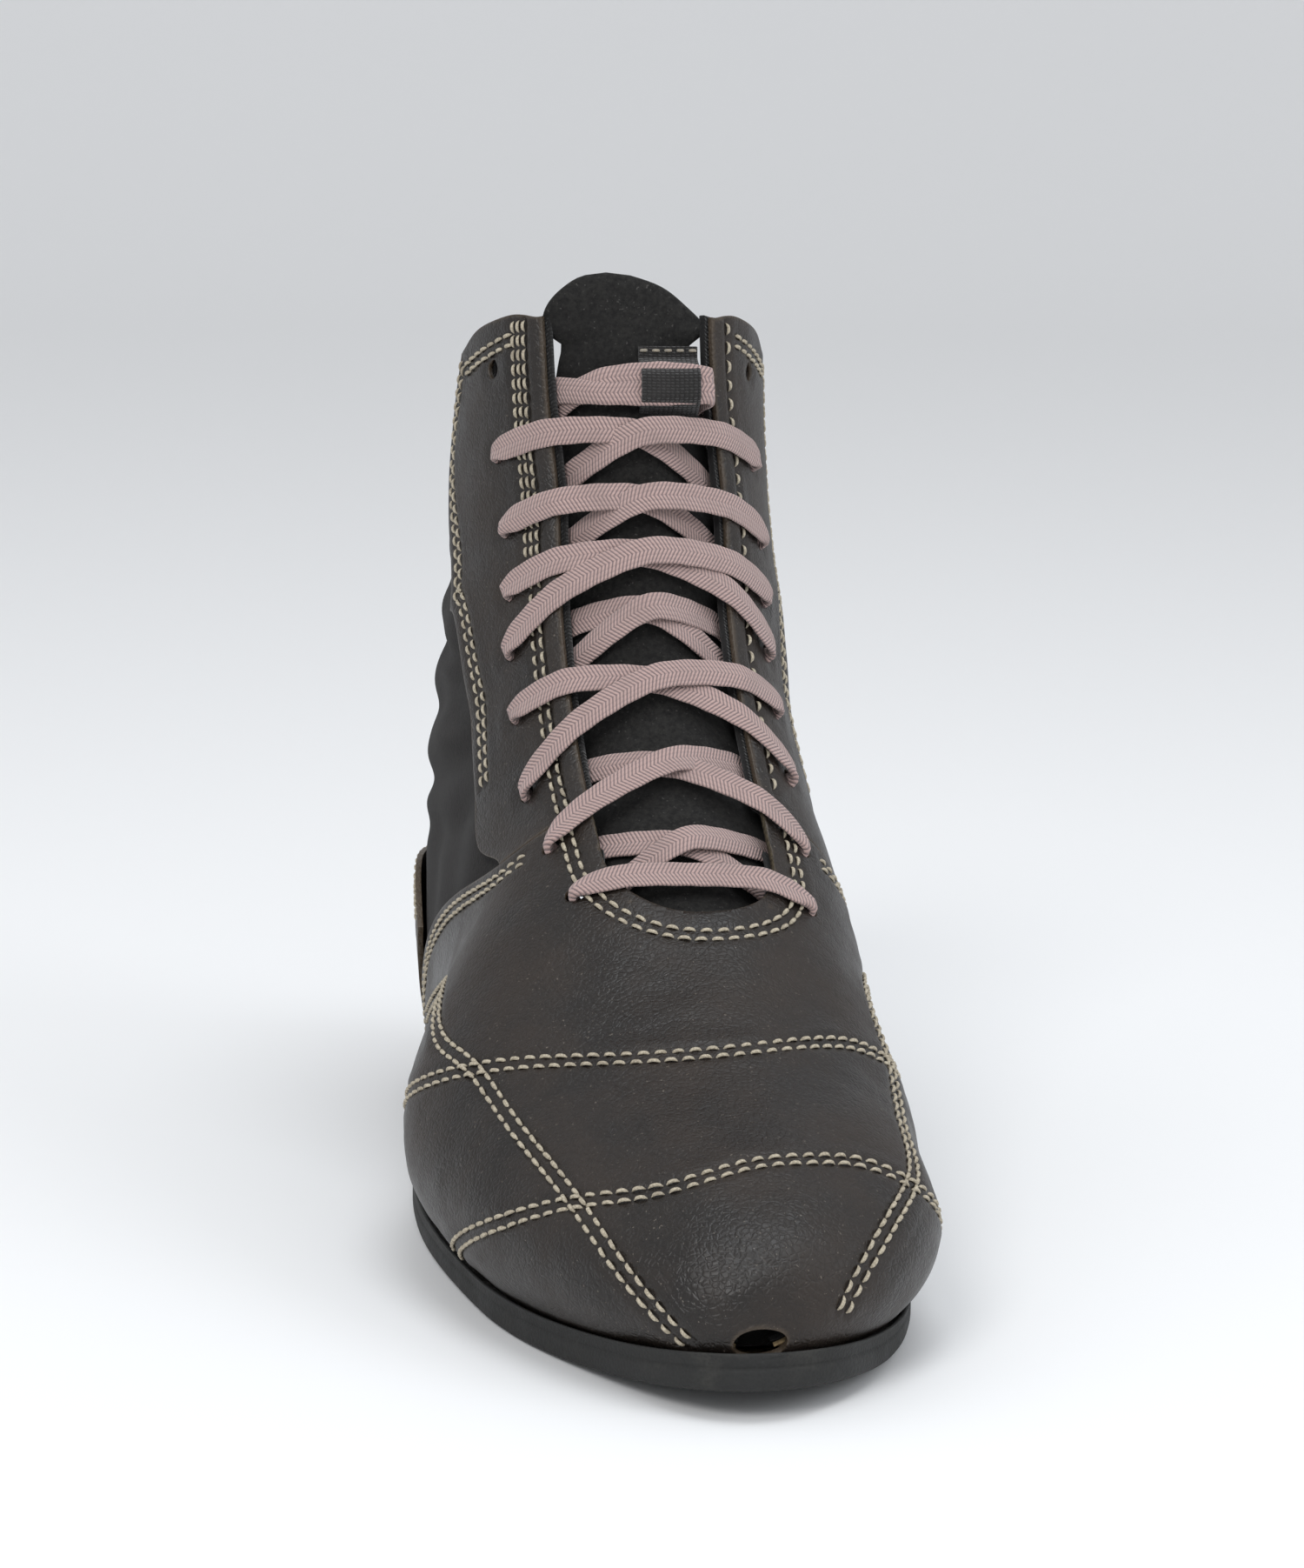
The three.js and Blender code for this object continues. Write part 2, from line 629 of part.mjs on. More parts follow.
// ---------- the tongue ----------
const flatness = (u) => THREE.MathUtils.smoothstep(u, 10.9, 11.5);
const tongueHalf = spline(
  [5.0, 5.6, 6.4, 7.5, 9, 9.8, 10.4, 10.9, 11.2, 11.7],
  [12, 19, 25, 29, TONGUE_HALF_WIDTH, 29, 24, FLAP_HALF_WIDTH + 0.5, FLAP_HALF_WIDTH, FLAP_HALF_WIDTH],
);
const tongueForm = (u, w) => last(u, w, flatness(u));
const axisDepth = (TONGUE_OUTER + TONGUE_INNER) / 2;
const hingePoint = skin(HINGE_RING, 0, axisDepth, tongueForm);
const flapOut = normalAt(tongueForm, HINGE_RING, 0).setX(0).normalize();
const flapUp = new THREE.Vector3(1, 0, 0).cross(flapOut).negate();
const hingeFrame = new THREE.Matrix4().makeBasis(new THREE.Vector3(1, 0, 0), flapUp, flapOut);
hingeFrame.setPosition(hingePoint);
const tongueRadius = TONGUE_THICKNESS / 2;

const tongue = patch({
  rows: 24,
  columns: 8,
  at: (a, b) => {
    const u = THREE.MathUtils.lerp(5.05, HINGE_RING, a);
    const half = tongueHalf(u);
    const w = THREE.MathUtils.lerp(-Math.abs(acrossRing(u, -1, half)), acrossRing(u, 1, half), b);
    return [u, w];
  },
  inner: () => TONGUE_INNER,
  outer: () => TONGUE_OUTER,
  surface: tongueForm,
});
// Everything from just below the hinge upwards is cut from the lower tongue.
const cutDepth = tongueRadius + CLEARANCE;
const cutBlock = new THREE.BoxGeometry(90, 30, 60).translate(0, 15 - cutDepth, 0);
addMesh("tongue_lower", tongue.subtract(solidFromGeometry(cutBlock, hingeFrame)), COLOURS.felt, 0.95);

// The flap's top is drawn a little towards the lateral side, so its two edges differ.
const flapAt = (across, up) => new THREE.Vector2(across * FLAP_HALF_WIDTH, up * FLAP_HEIGHT);
const flapShape = new THREE.Shape();
flapShape.moveTo(-FLAP_HALF_WIDTH, 0);
flapShape.lineTo(FLAP_HALF_WIDTH, 0);
flapShape.splineThru([
  flapAt(0.97, 0.11),
  flapAt(0.8, 0.35),
  flapAt(0.4, 0.78),
  flapAt(0.11, 0.93),
  flapAt(-0.25, 1),
  flapAt(-0.56, 0.93),
  flapAt(-0.74, 0.78),
  flapAt(-0.92, 0.54),
  flapAt(-1, 0.3),
]);
const flapSheet = new THREE.ExtrudeGeometry(flapShape, {
  depth: TONGUE_THICKNESS,
  bevelEnabled: false,
  curveSegments: 4,
}).translate(0, 0, -tongueRadius);
const flapRoll = new THREE.CylinderGeometry(tongueRadius, tongueRadius, 2 * FLAP_HALF_WIDTH, 20);
flapRoll.rotateZ(Math.PI / 2);
const flap = solidFromGeometry(flapSheet, hingeFrame).add(solidFromGeometry(flapRoll, hingeFrame));
addMesh("tongue_flap", flap, COLOURS.felt, 0.95);

// ---------- the loop that the lace ends pass through ----------
// Its outline is seen from the side: a strap whose two feet lie on the tongue.
const foot = 4;
const rise = 2.5;
const high = LOOP_STAND_OFF + LOOP_STRAP;
const low = LOOP_STRAP;
const loopShape = new THREE.Shape([
  new THREE.Vector2(0, 0),
  new THREE.Vector2(foot, 0),
  new THREE.Vector2(foot + rise, LOOP_STAND_OFF),
  new THREE.Vector2(LOOP_LENGTH - foot - rise, LOOP_STAND_OFF),
  new THREE.Vector2(LOOP_LENGTH - foot, 0),
  new THREE.Vector2(LOOP_LENGTH, 0),
  new THREE.Vector2(LOOP_LENGTH, low),
  new THREE.Vector2(LOOP_LENGTH - foot + low / 2, low),
  new THREE.Vector2(LOOP_LENGTH - foot - rise + low / 2, high),
  new THREE.Vector2(foot + rise - low / 2, high),
  new THREE.Vector2(foot - low / 2, low),
  new THREE.Vector2(0, low),
]);
const loopSheet = new THREE.ExtrudeGeometry(loopShape, { depth: LOOP_WIDTH, bevelEnabled: false });
const loopUp = flapUp;
const loopFrame = new THREE.Matrix4().makeBasis(loopUp, flapOut, loopUp.clone().cross(flapOut));
const loopBase = hingePoint
  .clone()
  .addScaledVector(flapOut, tongueRadius + LOOP_GAP)
  .addScaledVector(loopUp, -(LOOP_LENGTH + tongueRadius + 2));
const loopAcross = loopUp.clone().cross(flapOut);
loopBase.x += LOOP_SIDE - (LOOP_WIDTH / 2) * Math.sign(loopAcross.x);
loopFrame.setPosition(loopBase);
addMesh("lace_loop", solidFromGeometry(loopSheet, loopFrame), COLOURS.lining, 0.8);

// ---------- the lace ----------
const LACE_LOW = TONGUE_OUTER + LACE_THICKNESS / 2 + LACE_BRIDGE;
const LACE_HIGH = LACE_LOW + LACE_THICKNESS + 2 * CLEARANCE;
const TAIL_DEPTH = TONGUE_INNER - LACE_THICKNESS / 2 - 2;

// A point h millimetres to the side of the centre line on ring u, at distance d from the last.
const spot = (u, h, d) => skin(u, acrossRing(u, Math.sign(h) || 1, Math.abs(h)), d);

// How the lace passes the edge it leaves and the edge it comes to, from each row to the next.
const CROSSINGS = [
  ["under", "under"],
  ["over", "under"],
  ["over", "over"],
  ["under", "under"],
  ["over", "over"],
  ["under", "over"],
  ["under", "over"],
];
const depthOf = (pass) => (pass === "over" ? LACE_OVER : LACE_UNDER);

function eyeletSpot(row, side, d) {
  const [u, w] = eyelet(row, side);
  return skin(u, w, d);
}

// One half of the lacing, from the lowest row on one side up to the last laced row.
function climb(start) {
  const points = [];
  CROSSINGS.forEach(([leave, arrive], row) => {
    const side = row % 2 === 0 ? start : -start;
    const [u0, u1] = [EYELET_RINGS[row], EYELET_RINGS[row + 1]];
    const edge = (ring) => GAP_HALF_WIDTH - (ring < 6.6 ? 3 : 0);
    const near = THREE.MathUtils.lerp(u0, u1, 0.2);
    const far = THREE.MathUtils.lerp(u0, u1, 0.8);
    const middle = (u0 + u1) / 2;
    points.push(eyeletSpot(row, side, depthOf(leave)));
    points.push(spot(near, side * edge(near), depthOf(leave)));
    points.push(spot(middle, 0, side < 0 ? LACE_HIGH : LACE_LOW));
    points.push(spot(far, -side * edge(far), depthOf(arrive)));
    points.push(eyeletSpot(row + 1, -side, depthOf(arrive)));
  });
  return points;
}

// The free end: up to the loop, through it, and down inside the boot behind the tongue.
function tail(side) {
  const through = side < 0 ? 1.7 : -1.7;
  const middle = LOOP_LENGTH / 2 + through;
  const height = LOOP_STAND_OFF / 2;
  const [enter, leave] = side < 0 ? [-8, LOOP_WIDTH + 2.5] : [LOOP_WIDTH + 3, -9];
  const inLoop = (w) => {
    const across = loopAcross.x > 0 ? w : LOOP_WIDTH - w;
    return new THREE.Vector3(middle, height, across).applyMatrix4(loopFrame);
  };
  return [
    eyeletSpot(7, side, LACE_UNDER),
    spot(10.98, side * (GAP_HALF_WIDTH - 1), LACE_UNDER),
    inLoop(enter),
    inLoop(leave),
    spot(11.12, -side * (GAP_HALF_WIDTH + 0.5), LACE_UNDER + 2 * CLEARANCE),
    spot(11.1, -side * 23.5, LACE_UNDER - 2.6),
    spot(10.95, -side * 25, TAIL_DEPTH + 1),
    spot(10.4, -side * 22, TAIL_DEPTH),
    spot(9.7, -side * 18, TAIL_DEPTH),
    spot(9.0, -side * 14, TAIL_DEPTH),
  ];
}

// A curve through a list of points, stepped point by point rather than by equal lengths.
class Route extends THREE.Curve {
  constructor(points) {
    super();
    this.points = points;
  }

  getPoint(t) {
    const place = clamp(t, 0, 1) * (this.points.length - 1);
    const i = Math.min(Math.floor(place), this.points.length - 2);
    return this.points[i].clone().lerp(this.points[i + 1], place - i);
  }

  getPointAt(t) {
    return this.getPoint(t);
  }

  getSpacedPoints() {
    return this.points.map((p) => p.clone());
  }

  getTangentAt(t) {
    const i = Math.round(t * (this.points.length - 1));
    const before = this.points[Math.max(i - 1, 0)];
    const after = this.points[Math.min(i + 1, this.points.length - 1)];
    const here = this.points[i];
    const into = here.clone().sub(before).normalize();
    return after.clone().sub(here).normalize().add(into).normalize();
  }
}

const route = [
  ...tail(-1).reverse(),
  ...climb(1).reverse(),
  ...climb(-1),
  ...tail(1),
];
// The bar between the lowest pair lies outside and over the throat.
const barAt = route.findIndex((p) => p.distanceTo(eyeletSpot(0, 1, LACE_UNDER)) < 1e-6);
route.splice(
  barAt + 1,
  0,
  eyeletSpot(0, 1, LACE_OVER),
  spot(EYELET_RINGS[0], 16, LACE_OVER),
  spot(EYELET_RINGS[0], 0, LACE_LOW + 0.6),
  spot(EYELET_RINGS[0], -16, LACE_OVER),
  eyeletSpot(0, -1, LACE_OVER),
);
const laceSection = new THREE.Shape();
laceSection.absarc(0, 0, LACE_THICKNESS / 2, 0, 2 * Math.PI, false);
const laceTube = new THREE.ExtrudeGeometry(laceSection, {
  steps: route.length - 1,
  extrudePath: new Route(route),
  curveSegments: 4,
  bevelEnabled: false,
});
addMesh("lace", solidFromGeometry(laceTube), COLOURS.lace, 0.85);

const agletShape = new THREE.CylinderGeometry(AGLET_DIAMETER / 2, AGLET_DIAMETER / 2, AGLET_LENGTH, 12);
for (const [letter, end, before] of [
  ["a", route[0], route[1]],
  ["b", route[route.length - 1], route[route.length - 2]],
]) {
  const along = end.clone().sub(before).normalize();
  const turn = new THREE.Quaternion().setFromUnitVectors(new THREE.Vector3(0, 1, 0), along);
  const centre = end.clone().addScaledVector(along, CLEARANCE + AGLET_LENGTH / 2);
  const place = new THREE.Matrix4().compose(centre, turn, new THREE.Vector3(1, 1, 1));
  addMesh("aglet_" + letter, solidFromGeometry(agletShape, place), COLOURS.aglet, 0.4);
}

export default boot;
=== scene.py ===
"""A high-top lace-up boxing boot for the right foot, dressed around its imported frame.

Every panel of the upper is a thick patch of one form, the last. The last is a row of rings from the
toe to the collar: u counts the rings, from 0 at the toe tip to 12 at the collar, and w runs round a
ring from -1 at its lateral foot over 0 at the centre line to +1 at its medial foot. Sizes are in
millimetres, and meshes are written in metres.
"""
import logging
import math
from collections.abc import Callable, Iterable, Sequence
from dataclasses import dataclass, field
from enum import Enum

import bpy
import numpy as np
from mathutils import Matrix, Vector


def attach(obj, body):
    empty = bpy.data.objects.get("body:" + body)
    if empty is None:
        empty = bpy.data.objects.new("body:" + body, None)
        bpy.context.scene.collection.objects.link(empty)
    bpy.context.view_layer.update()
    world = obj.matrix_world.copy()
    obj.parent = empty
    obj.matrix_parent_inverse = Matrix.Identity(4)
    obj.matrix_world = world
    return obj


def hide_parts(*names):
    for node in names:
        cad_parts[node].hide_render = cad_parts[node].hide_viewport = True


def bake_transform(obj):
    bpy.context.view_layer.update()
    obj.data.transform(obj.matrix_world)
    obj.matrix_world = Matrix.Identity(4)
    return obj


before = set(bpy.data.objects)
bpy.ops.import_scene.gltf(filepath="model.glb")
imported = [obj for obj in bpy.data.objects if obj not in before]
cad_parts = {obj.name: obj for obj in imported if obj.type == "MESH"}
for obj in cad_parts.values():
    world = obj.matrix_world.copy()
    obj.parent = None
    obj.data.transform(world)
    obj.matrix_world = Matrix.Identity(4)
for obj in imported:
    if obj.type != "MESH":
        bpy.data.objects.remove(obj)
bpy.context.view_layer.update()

log = logging.getLogger("boot")
MM = 0.001
BODY = "boot"
Surface = Callable[[np.ndarray, np.ndarray], np.ndarray]


class Side(Enum):
    """The two sides of the boot, with the sign of w and x on each."""

    MEDIAL = 1
    LATERAL = -1

    @property
    def label(self) -> str:
        """The side's name as the CAD nodes spell it."""
        return self.name.lower()


# ---------------------------------------------------------------- the form


class Spline:
    """Natural cubic spline through knots, straight beyond both ends."""

    def __init__(self, knots: Sequence[float], values: Sequence[float]) -> None:
        """Solves the spline's second derivatives.

        Args:
            knots: rising positions.
            values: the value at each knot.
        """
        self.x = np.asarray(knots, float)
        self.y = np.asarray(values, float)
        n = len(self.x)
        h = np.diff(self.x)
        matrix = np.eye(n)
        right = np.zeros(n)
        for i in range(1, n - 1):
            matrix[i, i - 1 : i + 2] = h[i - 1], 2 * (h[i - 1] + h[i]), h[i]
            right[i] = 6 * ((self.y[i + 1] - self.y[i]) / h[i] - (self.y[i] - self.y[i - 1]) / h[i - 1])
        self.h = h
        self.m = np.linalg.solve(matrix, right)

    def __call__(self, x: np.ndarray | float) -> np.ndarray:
        """The spline's value: a cubic between two knots, a straight line outside them."""
        x = np.asarray(x, float)
        xs, ys, h, m = self.x, self.y, self.h, self.m
        inside = np.clip(x, xs[0], xs[-1])
        i = np.clip(np.searchsorted(xs, inside, side="right") - 1, 0, len(xs) - 2)
        a, b, step = xs[i + 1] - inside, inside - xs[i], h[i]
        value = (m[i] * a**3 + m[i + 1] * b**3) / (6 * step)
        value += (ys[i] / step - m[i] * step / 6) * a + (ys[i + 1] / step - m[i + 1] * step / 6) * b
        first = (ys[1] - ys[0]) / h[0] - h[0] * m[1] / 6
        last = (ys[-1] - ys[-2]) / h[-1] + h[-1] * m[-2] / 6
        below = np.where(x < xs[0], (x - xs[0]) * first, 0)
        above = np.where(x > xs[-1], (x - xs[-1]) * last, 0)
        return value + below + above


def smoothstep(x: np.ndarray | float, low: float, high: float) -> np.ndarray:
    """Rises from 0 at low to 1 at high with flat ends."""
    t = np.clip((np.asarray(x, float) - low) / (high - low), 0, 1)
    return t * t * (3 - 2 * t)


def unit(v: np.ndarray) -> np.ndarray:
    """Vectors scaled to length one."""
    return v / np.maximum(np.linalg.norm(v, axis=-1, keepdims=True), 1e-12)


@dataclass
class Last:
    """The form that the whole upper lies on, the same as the CAD source's."""

    toe_y: float = -148.0
    heel_y: float = 148.0
    toe_round: float = 74.0
    toe_square: float = 2.0
    heel_round: float = 40.0
    centre_x: float = 5.4
    feather: float = 7.3
    toe_spring: float = 7.0
    back_ring: float = 10.0
    collar_ring: float = 12.0

    def __post_init__(self) -> None:
        """Splines through the rings: centre line y and z, foot y and z, half widths and crown."""
        rings = np.array([
            [-148, 10.2, -148, 0, 5, 4, 1],
            [-145.5, 21.7, -145.5, 0, 13, 12, 4],
            [-133, 31.7, -133, 0, 28, 27, 7],
            [-112, 39.7, -109, 0, 41, 42, 7],
            [-88, 48.7, -82, 0, 44.5, 53.5, 7],
            [-62, 61.7, -52, 0, 47, 61, 6],
            [-38, 78.7, -20, 0, 46.5, 59.5, 4],
            [-16, 98.7, 16, 0, 46.5, 51.5, 2],
            [2, 120.7, 60, 0, 45, 46.8, 0],
            [14, 143.7, 122, 4, 45, 46.3, -1],
            [22, 164.7, 148, 38.7, 41, 44.2, -1],
            [27, 185.7, 141, 100.7, 37.5, 39.2, -3],
            [30, 204.7, 137, 171.7, 36, 35.9, -4],
        ])
        k = np.arange(len(rings))
        rings[:, 3] += self.feather + self.toe_lift(rings[:, 2])
        rings[:, 1] += self.feather
        columns = [Spline(k, rings[:, j]) for j in range(rings.shape[1])]
        self.top_y, self.top_z, self.foot_y, self.foot_z = columns[:4]
        self.width_medial, self.width_lateral, self.crown = columns[4:]
        edge_y = [-148, -120, -95, -60, -20, 20, 60, 100, 148]
        self.edge_medial = Spline(edge_y, [32, 36.5, 39.5, 43, 42, 37, 35, 35, 35])
        self.edge_lateral = Spline(edge_y, [27, 31, 38, 46, 51, 49.5, 44, 39, 35])

    def toe_lift(self, y: np.ndarray | float) -> np.ndarray:
        """How far the sole is lifted off the floor at y: a parabola in front of the ball."""
        return self.toe_spring * np.clip((-90 - np.asarray(y, float)) / 60, 0, None) ** 2

    def edge_half_width(self, y: np.ndarray, side: np.ndarray) -> np.ndarray:
        """The sole's half width: a spline, rounded off by a superellipse at the toe and a circle at the heel."""
        y = np.clip(y, self.toe_y, self.heel_y)
        toe = np.clip(1 - (y - self.toe_y) / self.toe_round, 0, 1)
        heel = np.clip(1 - (self.heel_y - y) / self.heel_round, 0, 1)
        width = np.where(side > 0, self.edge_medial(y), self.edge_lateral(y))
        return width * (1 - toe**self.toe_square) ** (1 / self.toe_square) * np.sqrt(1 - heel * heel)

    def ring(self, u: np.ndarray, side: np.ndarray) -> tuple[np.ndarray, np.ndarray]:
        """A ring's half width and the angle at which it reaches its foot.

        Args:
            u: ring numbers.
            side: +1 medial or -1 lateral, for each u.

        Returns:
            The half widths in millimetres and the angles in radians.
        """
        foot = np.where(u < self.back_ring, self.edge_half_width(self.foot_y(u), side), 0)
        width = np.where(side > 0, self.width_medial(u), self.width_lateral(u))
        width = np.maximum(width, foot * 1.002)
        return width, np.pi - np.arcsin(np.clip(foot / width, 0, 1))

    def at_angle(self, u: np.ndarray, angle: np.ndarray, side: np.ndarray,
                 flat: np.ndarray | float = 0) -> np.ndarray:
        """A ring's point: an elliptic arc from the centre line to the foot, which flat takes the drop from."""
        width, turn = self.ring(u, side)
        along = (1 - np.cos(angle)) / (1 - np.cos(turn))
        drop = along * (1 - flat)
        x = self.centre_x + self.crown(u) * (1 - along) + side * width * np.sin(angle)
        y = self.top_y(u) + (self.foot_y(u) - self.top_y(u)) * drop
        z = self.top_z(u) + (self.foot_z(u) - self.top_z(u)) * drop
        return np.stack([x, y, z], -1)

    def point(self, u: np.ndarray, w: np.ndarray, flat: np.ndarray | float = 0) -> np.ndarray:
        """The form's point at ring u and place w on the ring."""
        u, w = np.broadcast_arrays(np.asarray(u, float), np.asarray(w, float))
        side = np.where(w < 0, -1.0, 1.0)
        return self.at_angle(u, np.abs(w) * self.ring(u, side)[1], side, flat)

    def across(self, u: np.ndarray | float, side: float, h: np.ndarray | float) -> np.ndarray:
        """The w at which ring u is h millimetres from its centre line."""
        width, turn = self.ring(np.asarray(u, float), np.asarray(side, float))
        return side * np.arcsin(np.clip(h / width, 0, 1)) / turn

    def reach(self, u: np.ndarray, w: np.ndarray) -> np.ndarray:
        """The length of the ring from the centre line to w, in millimetres, about."""
        width, turn = self.ring(u, np.where(w < 0, -1.0, 1.0))
        return np.abs(w) * turn * width


LAST = Last()


def normals(surface: Surface, u: np.ndarray, w: np.ndarray) -> np.ndarray:
    """Unit normals of a surface, pointing out of the boot: the step across times the step along."""
    step = 1e-3
    along = surface(u + step, w) - surface(np.maximum(u - step, 1e-4), w)
    across = surface(u, w + step) - surface(u, w - step)
    return unit(np.cross(across, along))


def skin(u: np.ndarray | float, w: np.ndarray | float, d: np.ndarray | float,
         surface: Surface = LAST.point) -> np.ndarray:
    """Points at distance d outside a surface."""
    u, w = np.broadcast_arrays(np.asarray(u, float), np.asarray(w, float))
    return surface(u, w) + normals(surface, u, w) * np.asarray(d, float)[..., None]


# ---------------------------------------------------------------- sizes shared with the CAD source


@dataclass(frozen=True)
class Layers:
    """Distances of the layers from the last, positive outwards."""

    clearance: float = 0.3
    gap: float = 1.0
    leather: float = 1.4
    fabric: float = 1.0
    stiffener: float = 0.8
    stiffener_gap: float = 1.3
    lining: float = 1.0
    tongue: float = 3.0
    lace: float = 1.9

    @property
    def shell(self) -> tuple[float, float]:
        """Inner and outer face of the leather panels."""
        return self.clearance, self.clearance + self.leather

    @property
    def body(self) -> tuple[float, float]:
        """Inner and outer face of the cloth body."""
        outer = self.clearance - self.gap
        return outer - self.fabric, outer

    @property
    def inside(self) -> tuple[float, float]:
        """Inner and outer face of the linings."""
        outer = self.body[0] - self.stiffener_gap - self.gap - self.stiffener
        return outer - self.lining, outer

    @property
    def tongue_outer(self) -> float:
        """The tongue's outer face."""
        return self.body[0] - 2 * self.gap - self.lace

    @property
    def tongue_inner(self) -> float:
        """The tongue's inner face."""
        return self.tongue_outer - self.tongue

    @property
    def under(self) -> float:
        """The middle of the lace where it runs under the eyestays."""
        return (self.body[0] + self.tongue_outer) / 2

    @property
    def over(self) -> float:
        """The middle of the lace where it runs over the eyestays."""
        return self.shell[1] + self.lace / 2 + 0.3


@dataclass(frozen=True)
class Lacing:
    """Places of the gap, the eyelets and the tongue's hinge."""

    gap_half: float = 19.0
    throat_ring: float = 5.7
    throat_length: float = 0.75
    eyelet_rings: tuple[float, ...] = (6.12, 6.77, 7.6, 8.32, 8.9, 9.42, 10.05, 10.82, 11.6)
    eyelet_inset: float = 10.5
    eyelet_diameter: float = 4.6
    vamp_eyelets: int = 2
    hinge_ring: float = 11.62
    flap_height: float = 13.8
    loop_width: float = 14.0
    loop_length: float = 19.0
    loop_stand_off: float = 4.6
    loop_strap: float = 1.0
    loop_gap: float = 0.9
    loop_side: float = 9.5

    def gap_edge(self, u: np.ndarray, side: float) -> np.ndarray:
        """|w| of the gap's edge, which rounds off in a quarter ellipse at the throat."""
        short = np.clip((self.throat_ring + self.throat_length - u) / self.throat_length, 0, 1)
        return np.abs(LAST.across(u, side, self.gap_half * np.sqrt(1 - short * short)))

    def eyelet(self, row: int, side: float) -> tuple[float, float]:
        """u and w of an eyelet; the two lowest rows sit a little nearer to the gap."""
        u = self.eyelet_rings[row]
        closer = (-3.5, -1.5)[row] if row < 2 else 0
        return u, float(LAST.across(u, side, self.gap_half + self.eyelet_inset + closer))


LAYERS = Layers()
LACING = Lacing()
VAMP_END = Spline([0.2, 0.3, 0.42, 0.55, 0.68, 0.8, 1], [6.9, 6.97, 7.12, 7.55, 8.2, 8.55, 8.75])
STAY_EDGE = Spline(
    [6.8, 7.3, 7.8, 8.2, 8.8, 9.4, 10.0, 10.6, 11.4, 12],
    [0.44, 0.47, 0.52, 0.48, 0.43, 0.39, 0.37, 0.4, 0.47, 0.43],
)
COVER_END = 10.55
COVER_TOP = Spline([8.75, 9.2, 9.7, 10.2, COVER_END], [0.75, 0.7, 0.72, 0.83, 0.985])
BACK_SEAM = 0.996


def ripple(p: np.ndarray, wavelength: float, seed: int, waves: int = 7) -> np.ndarray:
    """Smooth unevenness: a sum of sine waves in directions drawn once from a seeded generator, about -1 to 1."""
    draw = np.random.default_rng(seed)
    k = unit(draw.normal(size=(waves, 3))) * (2 * np.pi / wavelength) * draw.uniform(0.6, 1.5, (waves, 1))
    return np.sin(p @ k.T + draw.uniform(0, 2 * np.pi, waves)).sum(-1) / math.sqrt(waves)


def gaussian(d: np.ndarray, width: float) -> np.ndarray:
    """A bell curve of distance."""
    return np.exp(-((d / width) ** 2))


def nearest(p: np.ndarray, line: np.ndarray) -> np.ndarray:
    """The distance from each point to the nearest point of a dense line, worked out in blocks."""
    flat = p.reshape(-1, 3)
    best = np.empty(len(flat))
    size = 4000
    for i in range(0, len(flat), size):
        block = flat[i : i + size]
        gap = (block**2).sum(1)[:, None] - 2 * block @ line.T + (line**2).sum(1)
        best[i : i + size] = np.sqrt(np.maximum(gap.min(1), 0))
    return best.reshape(p.shape[:-1])


# ---------------------------------------------------------------- meshes


def new_object(name: str, vertices: np.ndarray, faces: Iterable,
               slots: np.ndarray | None = None) -> bpy.types.Object:
    """Makes an object from vertices in millimetres and faces, smooth shaded and placed by its mesh.

    Args:
        name: the piece's name.
        vertices: an array of points.
        faces: vertex numbers of each face.
        slots: the material slot of each face.

    Returns:
        The object, linked to the scene.
    """
    mesh = bpy.data.meshes.new(name)
    mesh.from_pydata((vertices.reshape(-1, 3) * MM).tolist(), [], [tuple(f) for f in faces])
    mesh.polygons.foreach_set("use_smooth", np.ones(len(mesh.polygons), bool))
    if slots is not None:
        mesh.polygons.foreach_set("material_index", np.asarray(slots, np.int32))
    mesh.update()
    piece = bpy.data.objects.new(name, mesh)
    bpy.context.scene.collection.objects.link(piece)
    return piece


def grid_faces(rows: int, columns: int, start: int = 0, flip: bool = False, wrap: bool = False) -> np.ndarray:
    """Quads of a grid of rows by columns of points; wrap joins the last column to the first."""
    i, j = np.meshgrid(np.arange(rows - 1), np.arange(columns if wrap else columns - 1), indexing="ij")
    nxt = (j + 1) % columns
    quads = np.stack([i * columns + j, i * columns + nxt, (i + 1) * columns + nxt, (i + 1) * columns + j], -1)
    quads = quads.reshape(-1, 4) + start
    return quads[:, ::-1] if flip else quads


def set_uv(mesh: bpy.types.Mesh, uv: np.ndarray) -> None:
    """Writes one uv pair per vertex to the mesh's uv map."""
    layer = mesh.uv_layers.new(name="UVMap")
    index = np.empty(len(mesh.loops), np.int32)
    mesh.loops.foreach_get("vertex_index", index)
    layer.data.foreach_set("uv", uv.reshape(-1, 2)[index].astype(np.float32).ravel())


def set_value(mesh: bpy.types.Mesh, name: str, values: np.ndarray) -> None:
    """Writes one number per vertex as a named attribute."""
    attribute = mesh.attributes.new(name, "FLOAT", "POINT")
    attribute.data.foreach_set("value", values.astype(np.float32).ravel())


def lengths(p: np.ndarray, axis: int) -> np.ndarray:
    """Distances along a grid's rows or columns, from their first points."""
    step = np.linalg.norm(np.diff(p, axis=axis), axis=-1)
    return np.concatenate([np.zeros_like(np.take(step, [0], axis)), np.cumsum(step, axis)], axis)


def edge_distance(p: np.ndarray) -> np.ndarray:
    """The distance of each grid point from the nearest edge of its grid, measured along the grid."""
    along, across = lengths(p, 0), lengths(p, 1)
    return np.minimum.reduce([along, along[-1:] - along, across, across[:, -1:] - across])


